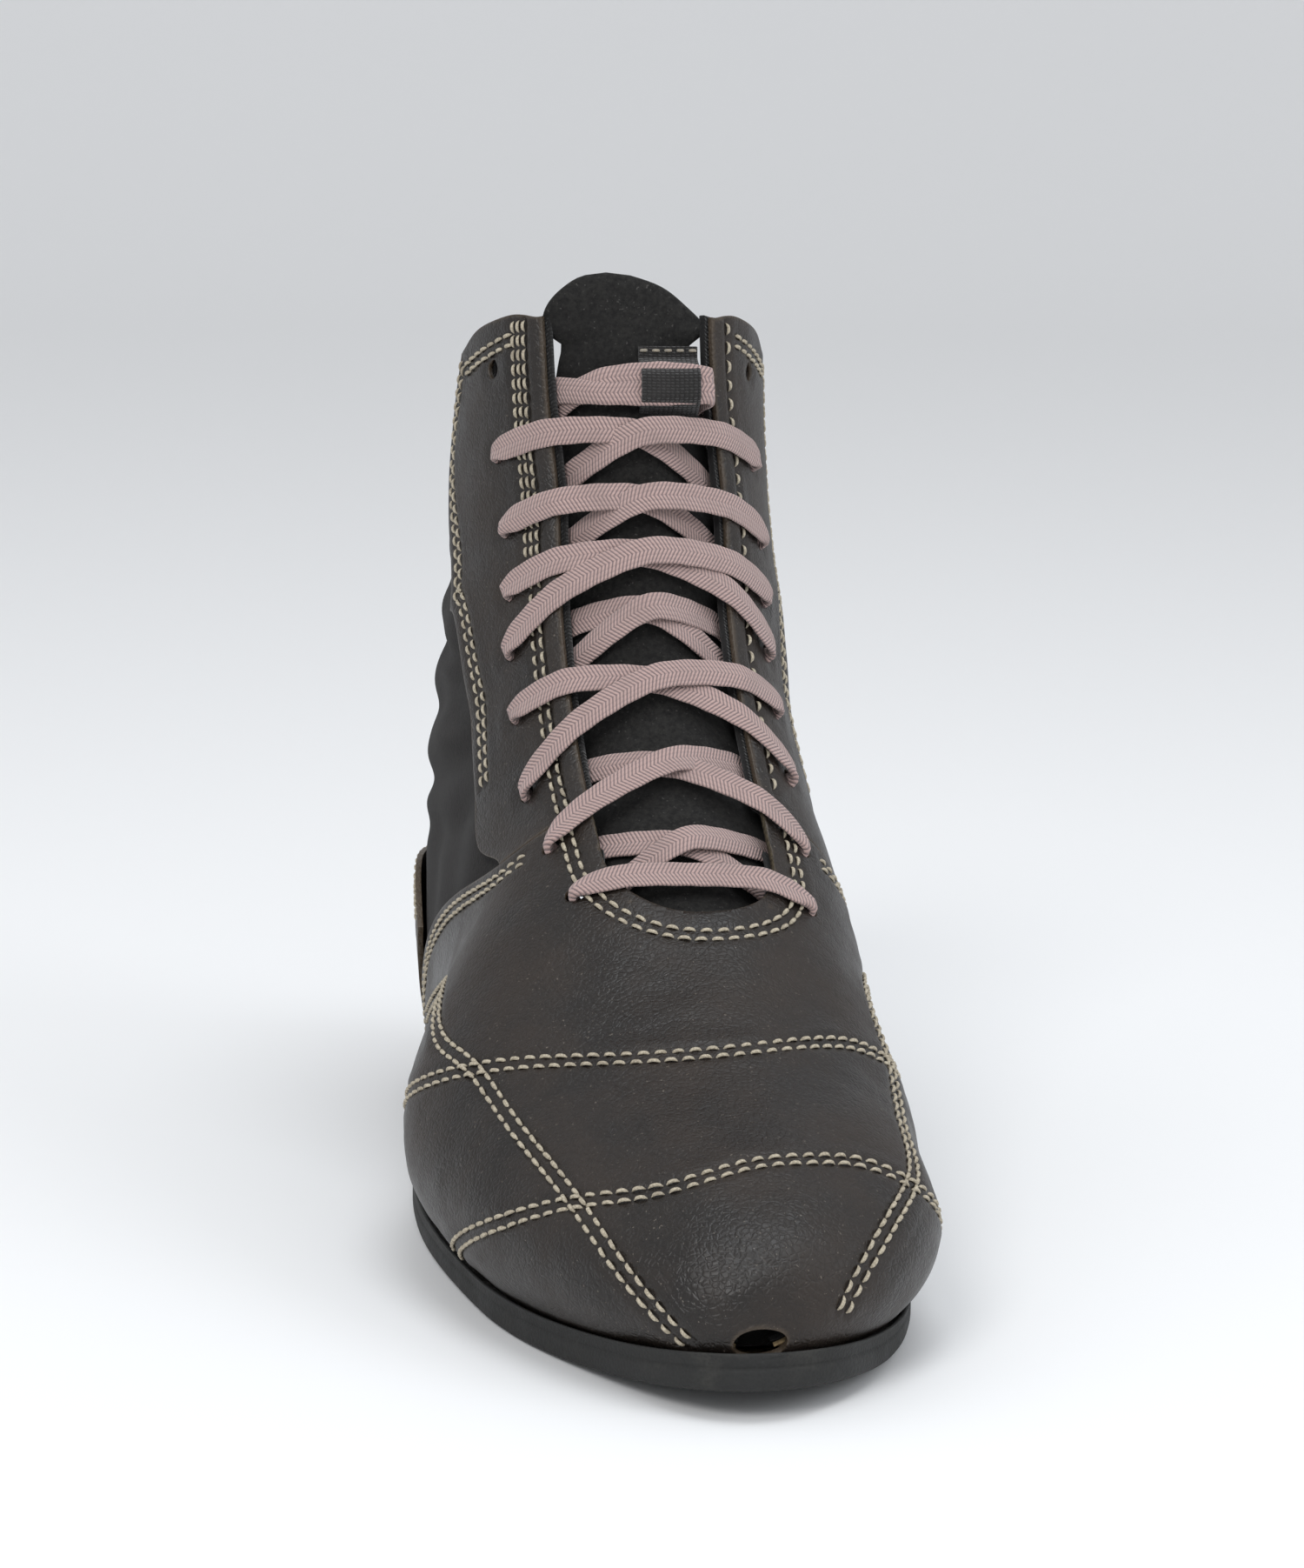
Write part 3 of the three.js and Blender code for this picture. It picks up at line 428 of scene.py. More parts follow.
def thick_grid(name: str, outer: np.ndarray, inner: np.ndarray, bevel: float = 0.45,
               edge: np.ndarray | float = 1e3) -> bpy.types.Object:
    """A closed sheet between two grids of points, with a soft rim.

    The faces of the outer grid take slot 0, the rim slot 1 and the inner grid slot 2. The uv map is
    the distance along and across the outer grid, and the attribute edge the distance from its rim.

    Args:
        name: the piece's name.
        outer: points of the outer face, rows by columns.
        inner: points of the inner face.
        bevel: the radius of the rim's edges.
        edge: a further distance for the edge attribute, such as that from a cut-out.

    Returns:
        The object.
    """
    rows, columns = outer.shape[:2]
    count = rows * columns
    top = grid_faces(rows, columns)
    under = grid_faces(rows, columns, count, flip=True)
    index = np.arange(count).reshape(rows, columns)
    loop = np.concatenate([index[0, :-1], index[:-1, -1], index[-1, :0:-1], index[:0:-1, 0]])
    ahead = np.roll(loop, -1)
    rim = np.stack([ahead, loop, loop + count, ahead + count], -1)
    faces = np.concatenate([top, under, rim])
    slots = np.concatenate([np.zeros(len(top)), np.full(len(under), 2), np.ones(len(rim))])
    piece = new_object(name, np.concatenate([outer.reshape(-1, 3), inner.reshape(-1, 3)]), faces, slots)
    edge = np.minimum(edge_distance(outer), edge)
    uv = np.stack([lengths(outer, 1), lengths(outer, 0)], -1) * MM
    set_uv(piece.data, np.concatenate([uv.reshape(-1, 2)] * 2))
    set_value(piece.data, "edge", np.concatenate([edge.ravel()] * 2) * MM)
    if bevel:
        round_rim(piece, bevel)
    return piece


def round_rim(piece: bpy.types.Object, radius: float) -> None:
    """Rounds the sharp edges of a sheet's rim."""
    bevel = piece.modifiers.new("rim", "BEVEL")
    bevel.width = radius * MM
    bevel.segments = 2
    bevel.limit_method = "ANGLE"
    bevel.angle_limit = math.radians(55)
    bevel.use_clamp_overlap = True


def bake(piece: bpy.types.Object) -> None:
    """Applies a piece's modifiers to its mesh."""
    graph = bpy.context.evaluated_depsgraph_get()
    mesh = bpy.data.meshes.new_from_object(piece.evaluated_get(graph))
    mesh.name = piece.name
    piece.modifiers.clear()
    piece.data = mesh


def tube_faces(rings: int, sides: int) -> np.ndarray:
    """Quads of a tube of rings, closed round, with open ends."""
    return grid_faces(rings, sides, wrap=True)


def cap_fan(ring: np.ndarray, pole: int, flip: bool) -> list[tuple[int, int, int]]:
    """Triangles from a ring's points to a pole."""
    ahead = np.roll(ring, -1)
    pairs = zip(ring.tolist(), ahead.tolist())
    return [(b, a, pole) if flip else (a, b, pole) for a, b in pairs]


def punch(piece: bpy.types.Object, centres: np.ndarray, axes: np.ndarray, radius: float,
          depth: float = 9.0) -> None:
    """Cuts round holes with a boolean of cylinders, all in one cutter.

    Args:
        piece: the sheet to cut.
        centres: the holes' centres.
        axes: the holes' directions.
        radius: the holes' radius.
        depth: half the cutters' length.
    """
    sides = 28
    turn = np.linspace(0, 2 * np.pi, sides, endpoint=False)
    points, faces = [], []
    for number, (centre, axis) in enumerate(zip(centres, unit(axes))):
        a = unit(np.cross(axis, [0.0, 0.3, 1.0]))
        b = np.cross(axis, a)
        ring = radius * (np.cos(turn)[:, None] * a + np.sin(turn)[:, None] * b)
        points += [centre - axis * depth + ring, centre + axis * depth + ring]
        low = np.arange(sides) + 2 * sides * number
        ahead = np.roll(low, -1)
        faces += np.stack([low, ahead, ahead + sides, low + sides], -1).tolist()
        faces += [low[::-1].tolist(), (low + sides).tolist()]
    cut_with(piece, new_object("cutter", np.concatenate(points), faces))


def cut_with(piece: bpy.types.Object, cutter: bpy.types.Object) -> None:
    """Takes a cutter's solid away from a piece, and removes the cutter."""
    cut = piece.modifiers.new("cut", "BOOLEAN")
    cut.operation = "DIFFERENCE"
    cut.solver = "EXACT"
    cut.material_mode = "TRANSFER"
    cut.object = cutter
    bake(piece)
    bpy.data.objects.remove(cutter)


# ---------------------------------------------------------------- shader groups and finishes


class Tree:
    """A short way to build a node tree."""

    def __init__(self, tree: bpy.types.NodeTree) -> None:
        """Keeps the tree that nodes are added to."""
        self.tree = tree

    def add(self, kind: str, inputs: dict | None = None, **settings: object) -> bpy.types.Node:
        """Adds a node, sets its properties, and fills or links its inputs.

        Args:
            kind: the node's type name without the ShaderNode prefix.
            inputs: a value or an output socket for each named or numbered input.
            settings: the node's own properties.

        Returns:
            The node.
        """
        node = self.tree.nodes.new("ShaderNode" + kind)
        for key, value in settings.items():
            setattr(node, key, value)
        for key, value in (inputs or {}).items():
            socket = node.inputs[key]
            if isinstance(value, bpy.types.NodeSocket):
                self.tree.links.new(value, socket)
            else:
                socket.default_value = value
        return node

    def math(self, operation: str, *values: object) -> bpy.types.NodeSocket:
        """A Math node's result."""
        node = self.add("Math", dict(enumerate(values)), operation=operation)
        return node.outputs[0]

    def remap(self, value: bpy.types.NodeSocket, low: float, high: float, to_low: float = 0,
              to_high: float = 1) -> bpy.types.NodeSocket:
        """A value mapped smoothly from one range to another."""
        inputs = {"Value": value, "From Min": low, "From Max": high, "To Min": to_low, "To Max": to_high}
        return self.add("MapRange", inputs, interpolation_type="SMOOTHSTEP").outputs["Result"]

    def mix(self, factor: object, a: object, b: object) -> bpy.types.NodeSocket:
        """Two colours mixed by a factor."""
        node = self.add("Mix", data_type="RGBA")
        for socket, value in ((node.inputs[0], factor), (node.inputs[6], a), (node.inputs[7], b)):
            if isinstance(value, bpy.types.NodeSocket):
                self.tree.links.new(value, socket)
            else:
                socket.default_value = value
        return node.outputs[2]

    def noise(self, vector: object, scale: float, detail: float = 3,
              roughness: float = 0.55) -> bpy.types.NodeSocket:
        """A noise texture's value."""
        inputs = {"Vector": vector, "Scale": scale, "Detail": detail, "Roughness": roughness}
        return self.add("TexNoise", inputs).outputs["Fac"]


def group(name: str, inputs: dict[str, tuple[str, object]],
          outputs: dict[str, str]) -> tuple[bpy.types.NodeTree, Tree, bpy.types.Node, bpy.types.Node]:
    """Starts a shader node group.

    Args:
        name: the group's name.
        inputs: for each input its socket type and default.
        outputs: for each output its socket type.

    Returns:
        The group, a Tree on it, its input node and its output node.
    """
    tree = bpy.data.node_groups.new(name, "ShaderNodeTree")
    for label, (kind, default) in inputs.items():
        socket = tree.interface.new_socket(name=label, in_out="INPUT", socket_type="NodeSocket" + kind)
        if default is not None:
            socket.default_value = default
    for label, kind in outputs.items():
        tree.interface.new_socket(name=label, in_out="OUTPUT", socket_type="NodeSocket" + kind)
    return tree, Tree(tree), tree.nodes.new("NodeGroupInput"), tree.nodes.new("NodeGroupOutput")


class Effects:
    """The shader groups that the finishes share, each built once."""

    def __init__(self) -> None:
        """Builds every group."""
        self.grain = self._grain()
        self.weave = self._weave()
        self.wear = self._wear()
        self.speckle = self._speckle()

    def _grain(self) -> bpy.types.NodeTree:
        """Leather grain: pebbles of two sizes between fine creases, with pores."""
        tree, t, source, sink = group(
            "leather_grain",
            {"Vector": ("Vector", None), "Scale": ("Float", 700.0), "Crease": ("Float", 0.5)},
            {"Height": "Float", "Tone": "Float"},
        )
        vector, scale, crease = source.outputs["Vector"], source.outputs["Scale"], source.outputs["Crease"]
        warp = t.add("TexNoise", {"Vector": vector, "Scale": 260.0, "Detail": 2.0}).outputs["Color"]
        warped = t.add("VectorMath", {0: warp, 1: (0.0016, 0.0016, 0.0016)}, operation="MULTIPLY").outputs[0]
        moved = t.add("VectorMath", {0: vector, 1: warped}, operation="ADD").outputs[0]
        small = t.add("TexVoronoi", {"Vector": moved, "Scale": scale},
                      feature="DISTANCE_TO_EDGE").outputs["Distance"]
        wide_scale = t.math("MULTIPLY", scale, 0.42)
        wide = t.add("TexVoronoi", {"Vector": moved, "Scale": wide_scale},
                     feature="DISTANCE_TO_EDGE").outputs["Distance"]
        pebble = t.remap(small, 0.0, 0.22)
        fold = t.math("MULTIPLY", t.remap(wide, 0.0, 0.16), crease)
        cloud = t.noise(vector, 90.0, 4)
        height = t.math("ADD", t.math("ADD", pebble, fold), t.math("MULTIPLY", cloud, 0.5))
        t.tree.links.new(height, sink.inputs["Height"])
        t.tree.links.new(t.remap(t.noise(vector, 38.0, 5, 0.6), 0.3, 0.7), sink.inputs["Tone"])
        return tree

    def _weave(self) -> bpy.types.NodeTree:
        """Plain weave: threads over and under, by sines of the two directions of the uv map."""
        tree, t, source, sink = group(
            "plain_weave",
            {"Vector": ("Vector", None), "Across": ("Float", 0.001), "Along": ("Float", 0.001)},
            {"Height": "Float"},
        )
        parts = t.add("SeparateXYZ", {0: source.outputs["Vector"]})
        waves = []
        for axis, pitch in (("X", "Across"), ("Y", "Along")):
            turn = t.math("DIVIDE", t.math("MULTIPLY", parts.outputs[axis], math.pi), source.outputs[pitch])
            waves.append(t.math("SINE", turn))
        warp = t.math("ABSOLUTE", waves[0])
        weft = t.math("ABSOLUTE", waves[1])
        over = t.math("MULTIPLY", waves[0], waves[1])
        height = t.math("ADD", t.math("MULTIPLY", warp, weft), t.math("MULTIPLY", over, 0.35))
        t.tree.links.new(height, sink.inputs["Height"])
        return tree

    def _wear(self) -> bpy.types.NodeTree:
        """Wear along edges: a mask that is one at an edge and fades, broken up by noise."""
        tree, t, source, sink = group(
            "edge_wear",
            {"Vector": ("Vector", None), "Distance": ("Float", 0.01), "Width": ("Float", 0.0015)},
            {"Mask": "Float"},
        )
        share = t.math("DIVIDE", source.outputs["Distance"], source.outputs["Width"])
        broken = t.math("ADD", share, t.math("MULTIPLY", t.noise(source.outputs["Vector"], 420.0, 4), 1.1))
        t.tree.links.new(t.remap(broken, 0.45, 1.5, 1.0, 0.0), sink.inputs["Mask"])
        return tree

    def _speckle(self) -> bpy.types.NodeTree:
        """Lint and dust: sparse light flecks of a given size."""
        tree, t, source, sink = group(
            "speckle",
            {"Vector": ("Vector", None), "Scale": ("Float", 900.0), "Amount": ("Float", 0.3)},
            {"Mask": "Float"},
        )
        noise = t.add("TexNoise", {"Vector": source.outputs["Vector"], "Scale": source.outputs["Scale"],
                                   "Detail": 2.0})
        limit = t.math("SUBTRACT", 0.75, t.math("MULTIPLY", source.outputs["Amount"], 0.25))
        above = t.math("SUBTRACT", noise.outputs["Fac"], limit)
        t.tree.links.new(t.remap(above, 0.0, 0.06), sink.inputs["Mask"])
        return tree

    @staticmethod
    def use(t: Tree, tree: bpy.types.NodeTree, **inputs: object) -> bpy.types.Node:
        """Places a group in a material and fills its inputs."""
        node = t.tree.nodes.new("ShaderNodeGroup")
        node.node_tree = tree
        for key, value in inputs.items():
            socket = node.inputs[key]
            if isinstance(value, bpy.types.NodeSocket):
                t.tree.links.new(value, socket)
            else:
                socket.default_value = value
        return node


EFFECTS = Effects()


def shade(level: Sequence[float]) -> tuple[float, float, float, float]:
    """A colour given as sRGB from 0 to 255, made linear, with full alpha."""
    linear = [((c / 255 + 0.055) / 1.055) ** 2.4 if c > 10.3 else c / 255 / 12.92 for c in level]
    return (*linear, 1.0)


@dataclass(frozen=True)
class Finish:
    """A surface finish, known by its name."""

    name: str

    def start(self, roughness: float, specular: float = 0.5) -> tuple[bpy.types.Material, Tree,
                                                                      bpy.types.Node]:
        """A material with an empty Principled shader.

        Args:
            roughness: the shader's own roughness, until a node is linked to it.
            specular: the shader's specular level.

        Returns:
            The material, a Tree on it, and the shader.
        """
        material = bpy.data.materials.new(self.name)
        material.use_nodes = True
        t = Tree(material.node_tree)
        shader = material.node_tree.nodes["Principled BSDF"]
        shader.inputs["Roughness"].default_value = roughness
        shader.inputs["Specular IOR Level"].default_value = specular
        return material, t, shader

    @staticmethod
    def finish(t: Tree, shader: bpy.types.Node, colour: object, height: object, strength: float,
               distance: float) -> None:
        """Links the colour, and a bump made from the height."""
        t.tree.links.new(colour, shader.inputs["Base Color"])
        bump = t.add("Bump", {"Strength": strength, "Distance": distance, "Height": height})
        t.tree.links.new(bump.outputs["Normal"], shader.inputs["Normal"])


@dataclass(frozen=True)
class Leather(Finish):
    """Satin full-grain leather with a worn, lighter edge."""

    dark: tuple[int, int, int] = (25, 21, 18)
    light: tuple[int, int, int] = (40, 32, 26)
    worn: tuple[int, int, int] = (78, 66, 52)
    grain: float = 760.0
    gloss: float = 0.42

    def build(self) -> bpy.types.Material:
        """Grain bump, a cloudy tone, and wear along the edge attribute."""
        material, t, shader = self.start(self.gloss, 0.4)
        place = t.add("TexCoord").outputs["Object"]
        grain = Effects.use(t, EFFECTS.grain, Vector=place, Scale=self.grain, Crease=0.7)
        edge = t.add("Attribute", attribute_name="edge").outputs["Fac"]
        wear = Effects.use(t, EFFECTS.wear, Vector=place, Distance=edge, Width=0.0013)
        dust = Effects.use(t, EFFECTS.speckle, Vector=place, Scale=1500.0, Amount=0.25)
        tone = t.mix(grain.outputs["Tone"], shade(self.dark), shade(self.light))
        pores = t.remap(grain.outputs["Height"], 0.2, 0.9, 0.72, 1.0)
        toned = t.mix(t.math("SUBTRACT", 1.0, pores), tone, shade((12, 10, 9)))
        worn = t.mix(t.math("MULTIPLY", wear.outputs["Mask"], 0.55), toned, shade(self.worn))
        dusty = t.mix(t.math("MULTIPLY", dust.outputs["Mask"], 0.35), worn, shade((150, 140, 128)))
        rough = t.remap(grain.outputs["Tone"], 0.0, 1.0, self.gloss - 0.05, self.gloss + 0.1)
        t.tree.links.new(rough, shader.inputs["Roughness"])
        self.finish(t, shader, dusty, grain.outputs["Height"], 0.3, 0.0003)
        return material


@dataclass(frozen=True)
class CutLeather(Finish):
    """The cut edge of leather: fibres in layers, painted a light olive-brown that is painted highlight, the
    light that the thin edge catches.
    """

    # This olive-brown is painted highlight: it paints the light that the edge catches, over the edge's own fibre
    # texture.
    colour: tuple[int, int, int] = (84, 76, 60)

    def build(self) -> bpy.types.Material:
        """Fibrous noise in colour and bump."""
        material, t, shader = self.start(0.85, 0.2)
        place = t.add("TexCoord").outputs["Object"]
        fibre = t.noise(place, 1400.0, 5, 0.65)
        patch = t.noise(place, 160.0, 3)
        base = t.mix(t.remap(fibre, 0.35, 0.65), shade((50, 44, 35)), shade(self.colour))
        base = t.mix(t.remap(patch, 0.4, 0.75, 0.0, 0.4), base, shade((40, 34, 28)))
        self.finish(t, shader, base, fibre, 0.6, 0.0004)
        return material


@dataclass(frozen=True)
class Suede(Finish):
    """Soft matt cloth with a short nap, for the ankle panels and the tongue."""

    colour: tuple[int, int, int] = (34, 31, 29)
    fleck: tuple[int, int, int] = (92, 88, 84)
    flecks: float = 0.35
    fibre: float = 1100.0
    sheen: float = 0.06

    def build(self) -> bpy.types.Material:
        """Fine fibre noise over a loose weave, light flecks, and sheen."""
        material, t, shader = self.start(0.92, 0.2)
        place = t.add("TexCoord").outputs["Object"]
        fibre = t.noise(place, self.fibre, 6, 0.7)
        cloud = t.noise(place, 60.0, 4, 0.6)
        lint = Effects.use(t, EFFECTS.speckle, Vector=place, Scale=self.fibre * 1.3, Amount=self.flecks)
        dark = tuple(int(c * 0.62) for c in self.colour)
        light = tuple(int(c * 1.35) for c in self.colour)
        base = t.mix(t.remap(fibre, 0.32, 0.68), shade(dark), shade(light))
        base = t.mix(t.remap(cloud, 0.35, 0.75, 0.0, 0.35), base, shade(dark))
        base = t.mix(t.math("MULTIPLY", lint.outputs["Mask"], 0.8), base, shade(self.fleck))
        shader.inputs["Sheen Weight"].default_value = self.sheen
        shader.inputs["Sheen Roughness"].default_value = 0.6
        self.finish(t, shader, base, fibre, 0.55, 0.0006)
        return material


@dataclass(frozen=True)
class Woven(Finish):
    """Plain-woven cloth or tape, with its threads along the uv map."""

    colour: tuple[int, int, int] = (26, 25, 24)
    across: float = 0.0009
    along: float = 0.0009
    relief: float = 0.0004

    def build(self) -> bpy.types.Material:
        """Weave height darkens the gaps and makes the bump; noise fades the colour."""
        material, t, shader = self.start(0.88, 0.25)
        uv = t.add("UVMap", uv_map="UVMap").outputs["UV"]
        place = t.add("TexCoord").outputs["Object"]
        weave = Effects.use(t, EFFECTS.weave, Vector=uv, Across=self.across, Along=self.along)
        fuzz = t.noise(place, 2300.0, 3)
        cloud = t.noise(place, 75.0, 3)
        dark = tuple(int(c * 0.55) for c in self.colour)
        light = tuple(min(255, int(c * 1.18)) for c in self.colour)
        base = t.mix(t.remap(weave.outputs["Height"], 0.0, 0.8), shade(dark), shade(self.colour))
        base = t.mix(t.remap(cloud, 0.4, 0.7, 0.0, 0.5), base, shade(light))
        height = t.math("ADD", weave.outputs["Height"], t.math("MULTIPLY", fuzz, 0.5))
        shader.inputs["Sheen Weight"].default_value = 0.2
        self.finish(t, shader, base, height, 0.7, self.relief)
        return material


@dataclass(frozen=True)
class Braid(Finish):
    """Flat braided lace: fine cross ribs and slanted strands, dusty at the edges."""

    colour: tuple[int, int, int] = (178, 152, 146)
    shadow: tuple[int, int, int] = (124, 108, 108)

    def build(self) -> bpy.types.Material:
        """Ribs by a sine along the lace, slanted by the place across it."""
        material, t, shader = self.start(0.85, 0.25)
        uv = t.add("UVMap", uv_map="UVMap").outputs["UV"]
        place = t.add("TexCoord").outputs["Object"]
        parts = t.add("SeparateXYZ", {0: uv})
        bend = t.math("ABSOLUTE", parts.outputs["X"])
        slant = t.math("ADD", parts.outputs["Y"], t.math("MULTIPLY", bend, 0.55))
        rib = t.math("ABSOLUTE", t.math("SINE", t.math("MULTIPLY", slant, math.pi / 0.00095)))
        strand = t.math("ABSOLUTE", t.math("SINE", t.math("MULTIPLY", parts.outputs["X"], math.pi / 0.00115)))
        height = t.math("MULTIPLY", rib, t.math("ADD", 0.55, t.math("MULTIPLY", strand, 0.45)))
        dirt = t.noise(place, 110.0, 4, 0.6)
        base = t.mix(t.remap(height, 0.1, 0.75), shade(self.shadow), shade(self.colour))
        base = t.mix(t.remap(dirt, 0.45, 0.8, 0.0, 0.45), base, shade((138, 120, 116)))
        fuzz = t.math("MULTIPLY", t.noise(place, 2600.0, 2), 0.35)
        shader.inputs["Sheen Weight"].default_value = 0.2
        self.finish(t, shader, base, t.math("ADD", height, fuzz), 0.7, 0.0005)
        return material


@dataclass(frozen=True)
class Thread(Finish):
    """Waxed sewing thread, twisted."""

    colour: tuple[int, int, int] = (186, 176, 156)

    def build(self) -> bpy.types.Material:
        """Slanted twist bands by a wave on object coordinates, with grime."""
        material, t, shader = self.start(0.6, 0.35)
        place = t.add("TexCoord").outputs["Object"]
        twist = t.noise(place, 2400.0, 2)
        grime = t.noise(place, 130.0, 4, 0.6)
        base = t.mix(t.remap(twist, 0.35, 0.65), shade((150, 140, 122)), shade(self.colour))
        base = t.mix(t.remap(grime, 0.5, 0.8, 0.0, 0.6), base, shade((112, 102, 88)))
        self.finish(t, shader, base, twist, 0.5, 0.0003)
        return material


@dataclass(frozen=True)
class Rubber(Finish):
    """Matt rubber with a fine pebbled texture and scuffs."""

    colour: tuple[int, int, int] = (38, 38, 37)

    def build(self) -> bpy.types.Material:
        """Fine bump, dusty scuffs by noise."""
        material, t, shader = self.start(0.7, 0.35)
        place = t.add("TexCoord").outputs["Object"]
        pebble = t.add("TexVoronoi", {"Vector": place, "Scale": 1300.0}).outputs["Distance"]
        scuff = t.noise(place, 45.0, 6, 0.7)
        base = t.mix(t.remap(scuff, 0.5, 0.75), shade(self.colour), shade((60, 59, 56)))
        base = t.mix(t.remap(pebble, 0.2, 0.7, 0.35, 0.0), base, shade((30, 30, 30)))
        rough = t.remap(scuff, 0.3, 0.7, 0.6, 0.85)
        t.tree.links.new(rough, shader.inputs["Roughness"])
        self.finish(t, shader, base, pebble, 0.35, 0.0003)
        return material


@dataclass(frozen=True)
class Board(Finish):
    """Pressed fibre board or foam, hidden inside the boot."""

    colour: tuple[int, int, int] = (150, 130, 98)
    pores: float = 600.0

    def build(self) -> bpy.types.Material:
        """Cellular bump and mottled colour."""
        material, t, shader = self.start(0.95, 0.15)
        place = t.add("TexCoord").outputs["Object"]
        cell = t.add("TexVoronoi", {"Vector": place, "Scale": self.pores}).outputs["Distance"]
        dark = tuple(int(c * 0.7) for c in self.colour)
        base = t.mix(t.remap(cell, 0.1, 0.7), shade(self.colour), shade(dark))
        self.finish(t, shader, base, cell, 0.5, 0.0004)
        return material


class Wardrobe:
    """Every material, built once, by what it is used for."""

    def __init__(self) -> None:
        """Builds the materials."""
        self.leather = Leather("boot_leather").build()
        # The heel leather is the boot leather painted lighter: painted highlight for the brighter light that the
        # sides of the boot catch.
        self.lit_heel_leather = Leather("lit_heel_leather", dark=(36, 29, 23), light=(54, 44, 35),
                                    worn=(98, 84, 66)).build()
        self.cut = CutLeather("lit_cut_leather_edge").build()
        self.quarter = Suede("ankle_suede", colour=(25, 22, 20), fleck=(48, 45, 42), flecks=0.12).build()
        self.felt = Suede("tongue_felt", colour=(30, 29, 28), fleck=(70, 68, 66), flecks=0.35,
                          fibre=900.0).build()
        self.lining = Woven("woven_lining").build()
        self.tape = Woven("loop_tape", colour=(46, 44, 43), across=0.0011, along=0.0007,
                          relief=0.0006).build()
        self.binding = Woven("collar_binding", colour=(30, 28, 27), across=0.0010, along=0.0008).build()
        self.lace = Braid("lace_braid").build()
        self.thread = Thread("cream_thread").build()
        self.grey_thread = Thread("grey_thread", colour=(128, 124, 118)).build()
        self.rubber = Rubber("sole_rubber").build()
        self.foxing = Rubber("foxing_line", colour=(70, 68, 64)).build()
        self.board = Board("fibre_board").build()
        self.foam = Board("grey_foam", colour=(92, 90, 86), pores=900.0).build()
        self.aglet = Rubber("aglet_film", colour=(126, 118, 114)).build()


def dress(piece: bpy.types.Object, *materials: bpy.types.Material) -> None:
    """Gives a piece its materials, one to each slot."""
    piece.data.materials.clear()
    for material in materials:
        piece.data.materials.append(material)


def place(piece: bpy.types.Object, slot: str, *replaced: str, body: str = BODY) -> bpy.types.Object:
    """Rides a finished piece on its body and hides the CAD nodes that it stands for."""
    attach(piece, body)
    if replaced:
        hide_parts(*replaced)
    log.info("%s: %d faces", piece.name, len(piece.data.polygons))
    return piece


# ---------------------------------------------------------------- stitches


@dataclass
class Seam:
    """Rows of stitches along a line on the last.

    line holds points as (u, w); rows are sideways shifts of each row, in millimetres.
    """

    line: Sequence[tuple[float, float]]
    rows: tuple[float, ...] = (-1.35, 1.35)
    pitch: float = 3.7
    height: float = LAYERS.shell[1]
    surface: Surface = LAST.point

    def path(self, spacing: float = 0.5) -> tuple[np.ndarray, np.ndarray, np.ndarray]:
        """Places, directions and normals along the line: a spline through its points, evenly spaced.

        Args:
            spacing: the distance between places.

        Returns:
            Points on the panel's face, unit tangents, and unit normals.
        """
        knots = np.asarray(self.line, float)
        step = np.linalg.norm(np.diff(knots * [1.0, 6.0], axis=0), axis=1)
        s = np.concatenate([[0], np.cumsum(step)])
        dense = np.linspace(0, s[-1], 900)
        u, w = Spline(s, knots[:, 0])(dense), Spline(s, knots[:, 1])(dense)
        points = skin(u, w, self.height, self.surface)
        length = np.concatenate([[0], np.cumsum(np.linalg.norm(np.diff(points, axis=0), axis=1))])
        even = np.linspace(0, length[-1], max(int(length[-1] / spacing), 4))
        u, w = np.interp(even, length, u), np.interp(even, length, w)
        points = skin(u, w, self.height, self.surface)
        return points, unit(np.gradient(points, axis=0)), normals(self.surface, u, w)

    def row_paths(self, spacing: float = 0.5) -> list[tuple[np.ndarray, np.ndarray, np.ndarray]]:
        """Each row's own path: the line moved sideways along the surface."""
        points, tangent, normal = self.path(spacing)
        sideways = unit(np.cross(normal, tangent))
        return [(points + sideways * shift, tangent, normal) for shift in self.rows]

    def centres(self) -> np.ndarray:
        """All rows' points together, for the grooves that the stitches pull into the leather."""
        return np.concatenate([p for p, _, _ in self.row_paths(0.7)])

    def spots(self) -> tuple[np.ndarray, np.ndarray, np.ndarray]:
        """Middle, direction and normal of every stitch, one each pitch along each row."""
        found = []
        for points, _, normal in self.row_paths():
            length = np.concatenate([[0], np.cumsum(np.linalg.norm(np.diff(points, axis=0), axis=1))])
            count = max(int(length[-1] / self.pitch), 1)
            middle = (np.arange(count) + 0.5) * length[-1] / count
            at = [np.stack([np.interp(middle, length, a[:, k]) for k in range(3)], -1)
                  for a in (points, normal)]
            tangent = unit(np.gradient(points, axis=0))
            way = np.stack([np.interp(middle, length, tangent[:, k]) for k in range(3)], -1)
            found.append((at[0], unit(way), unit(at[1])))
        return tuple(np.concatenate(part) for part in zip(*found))


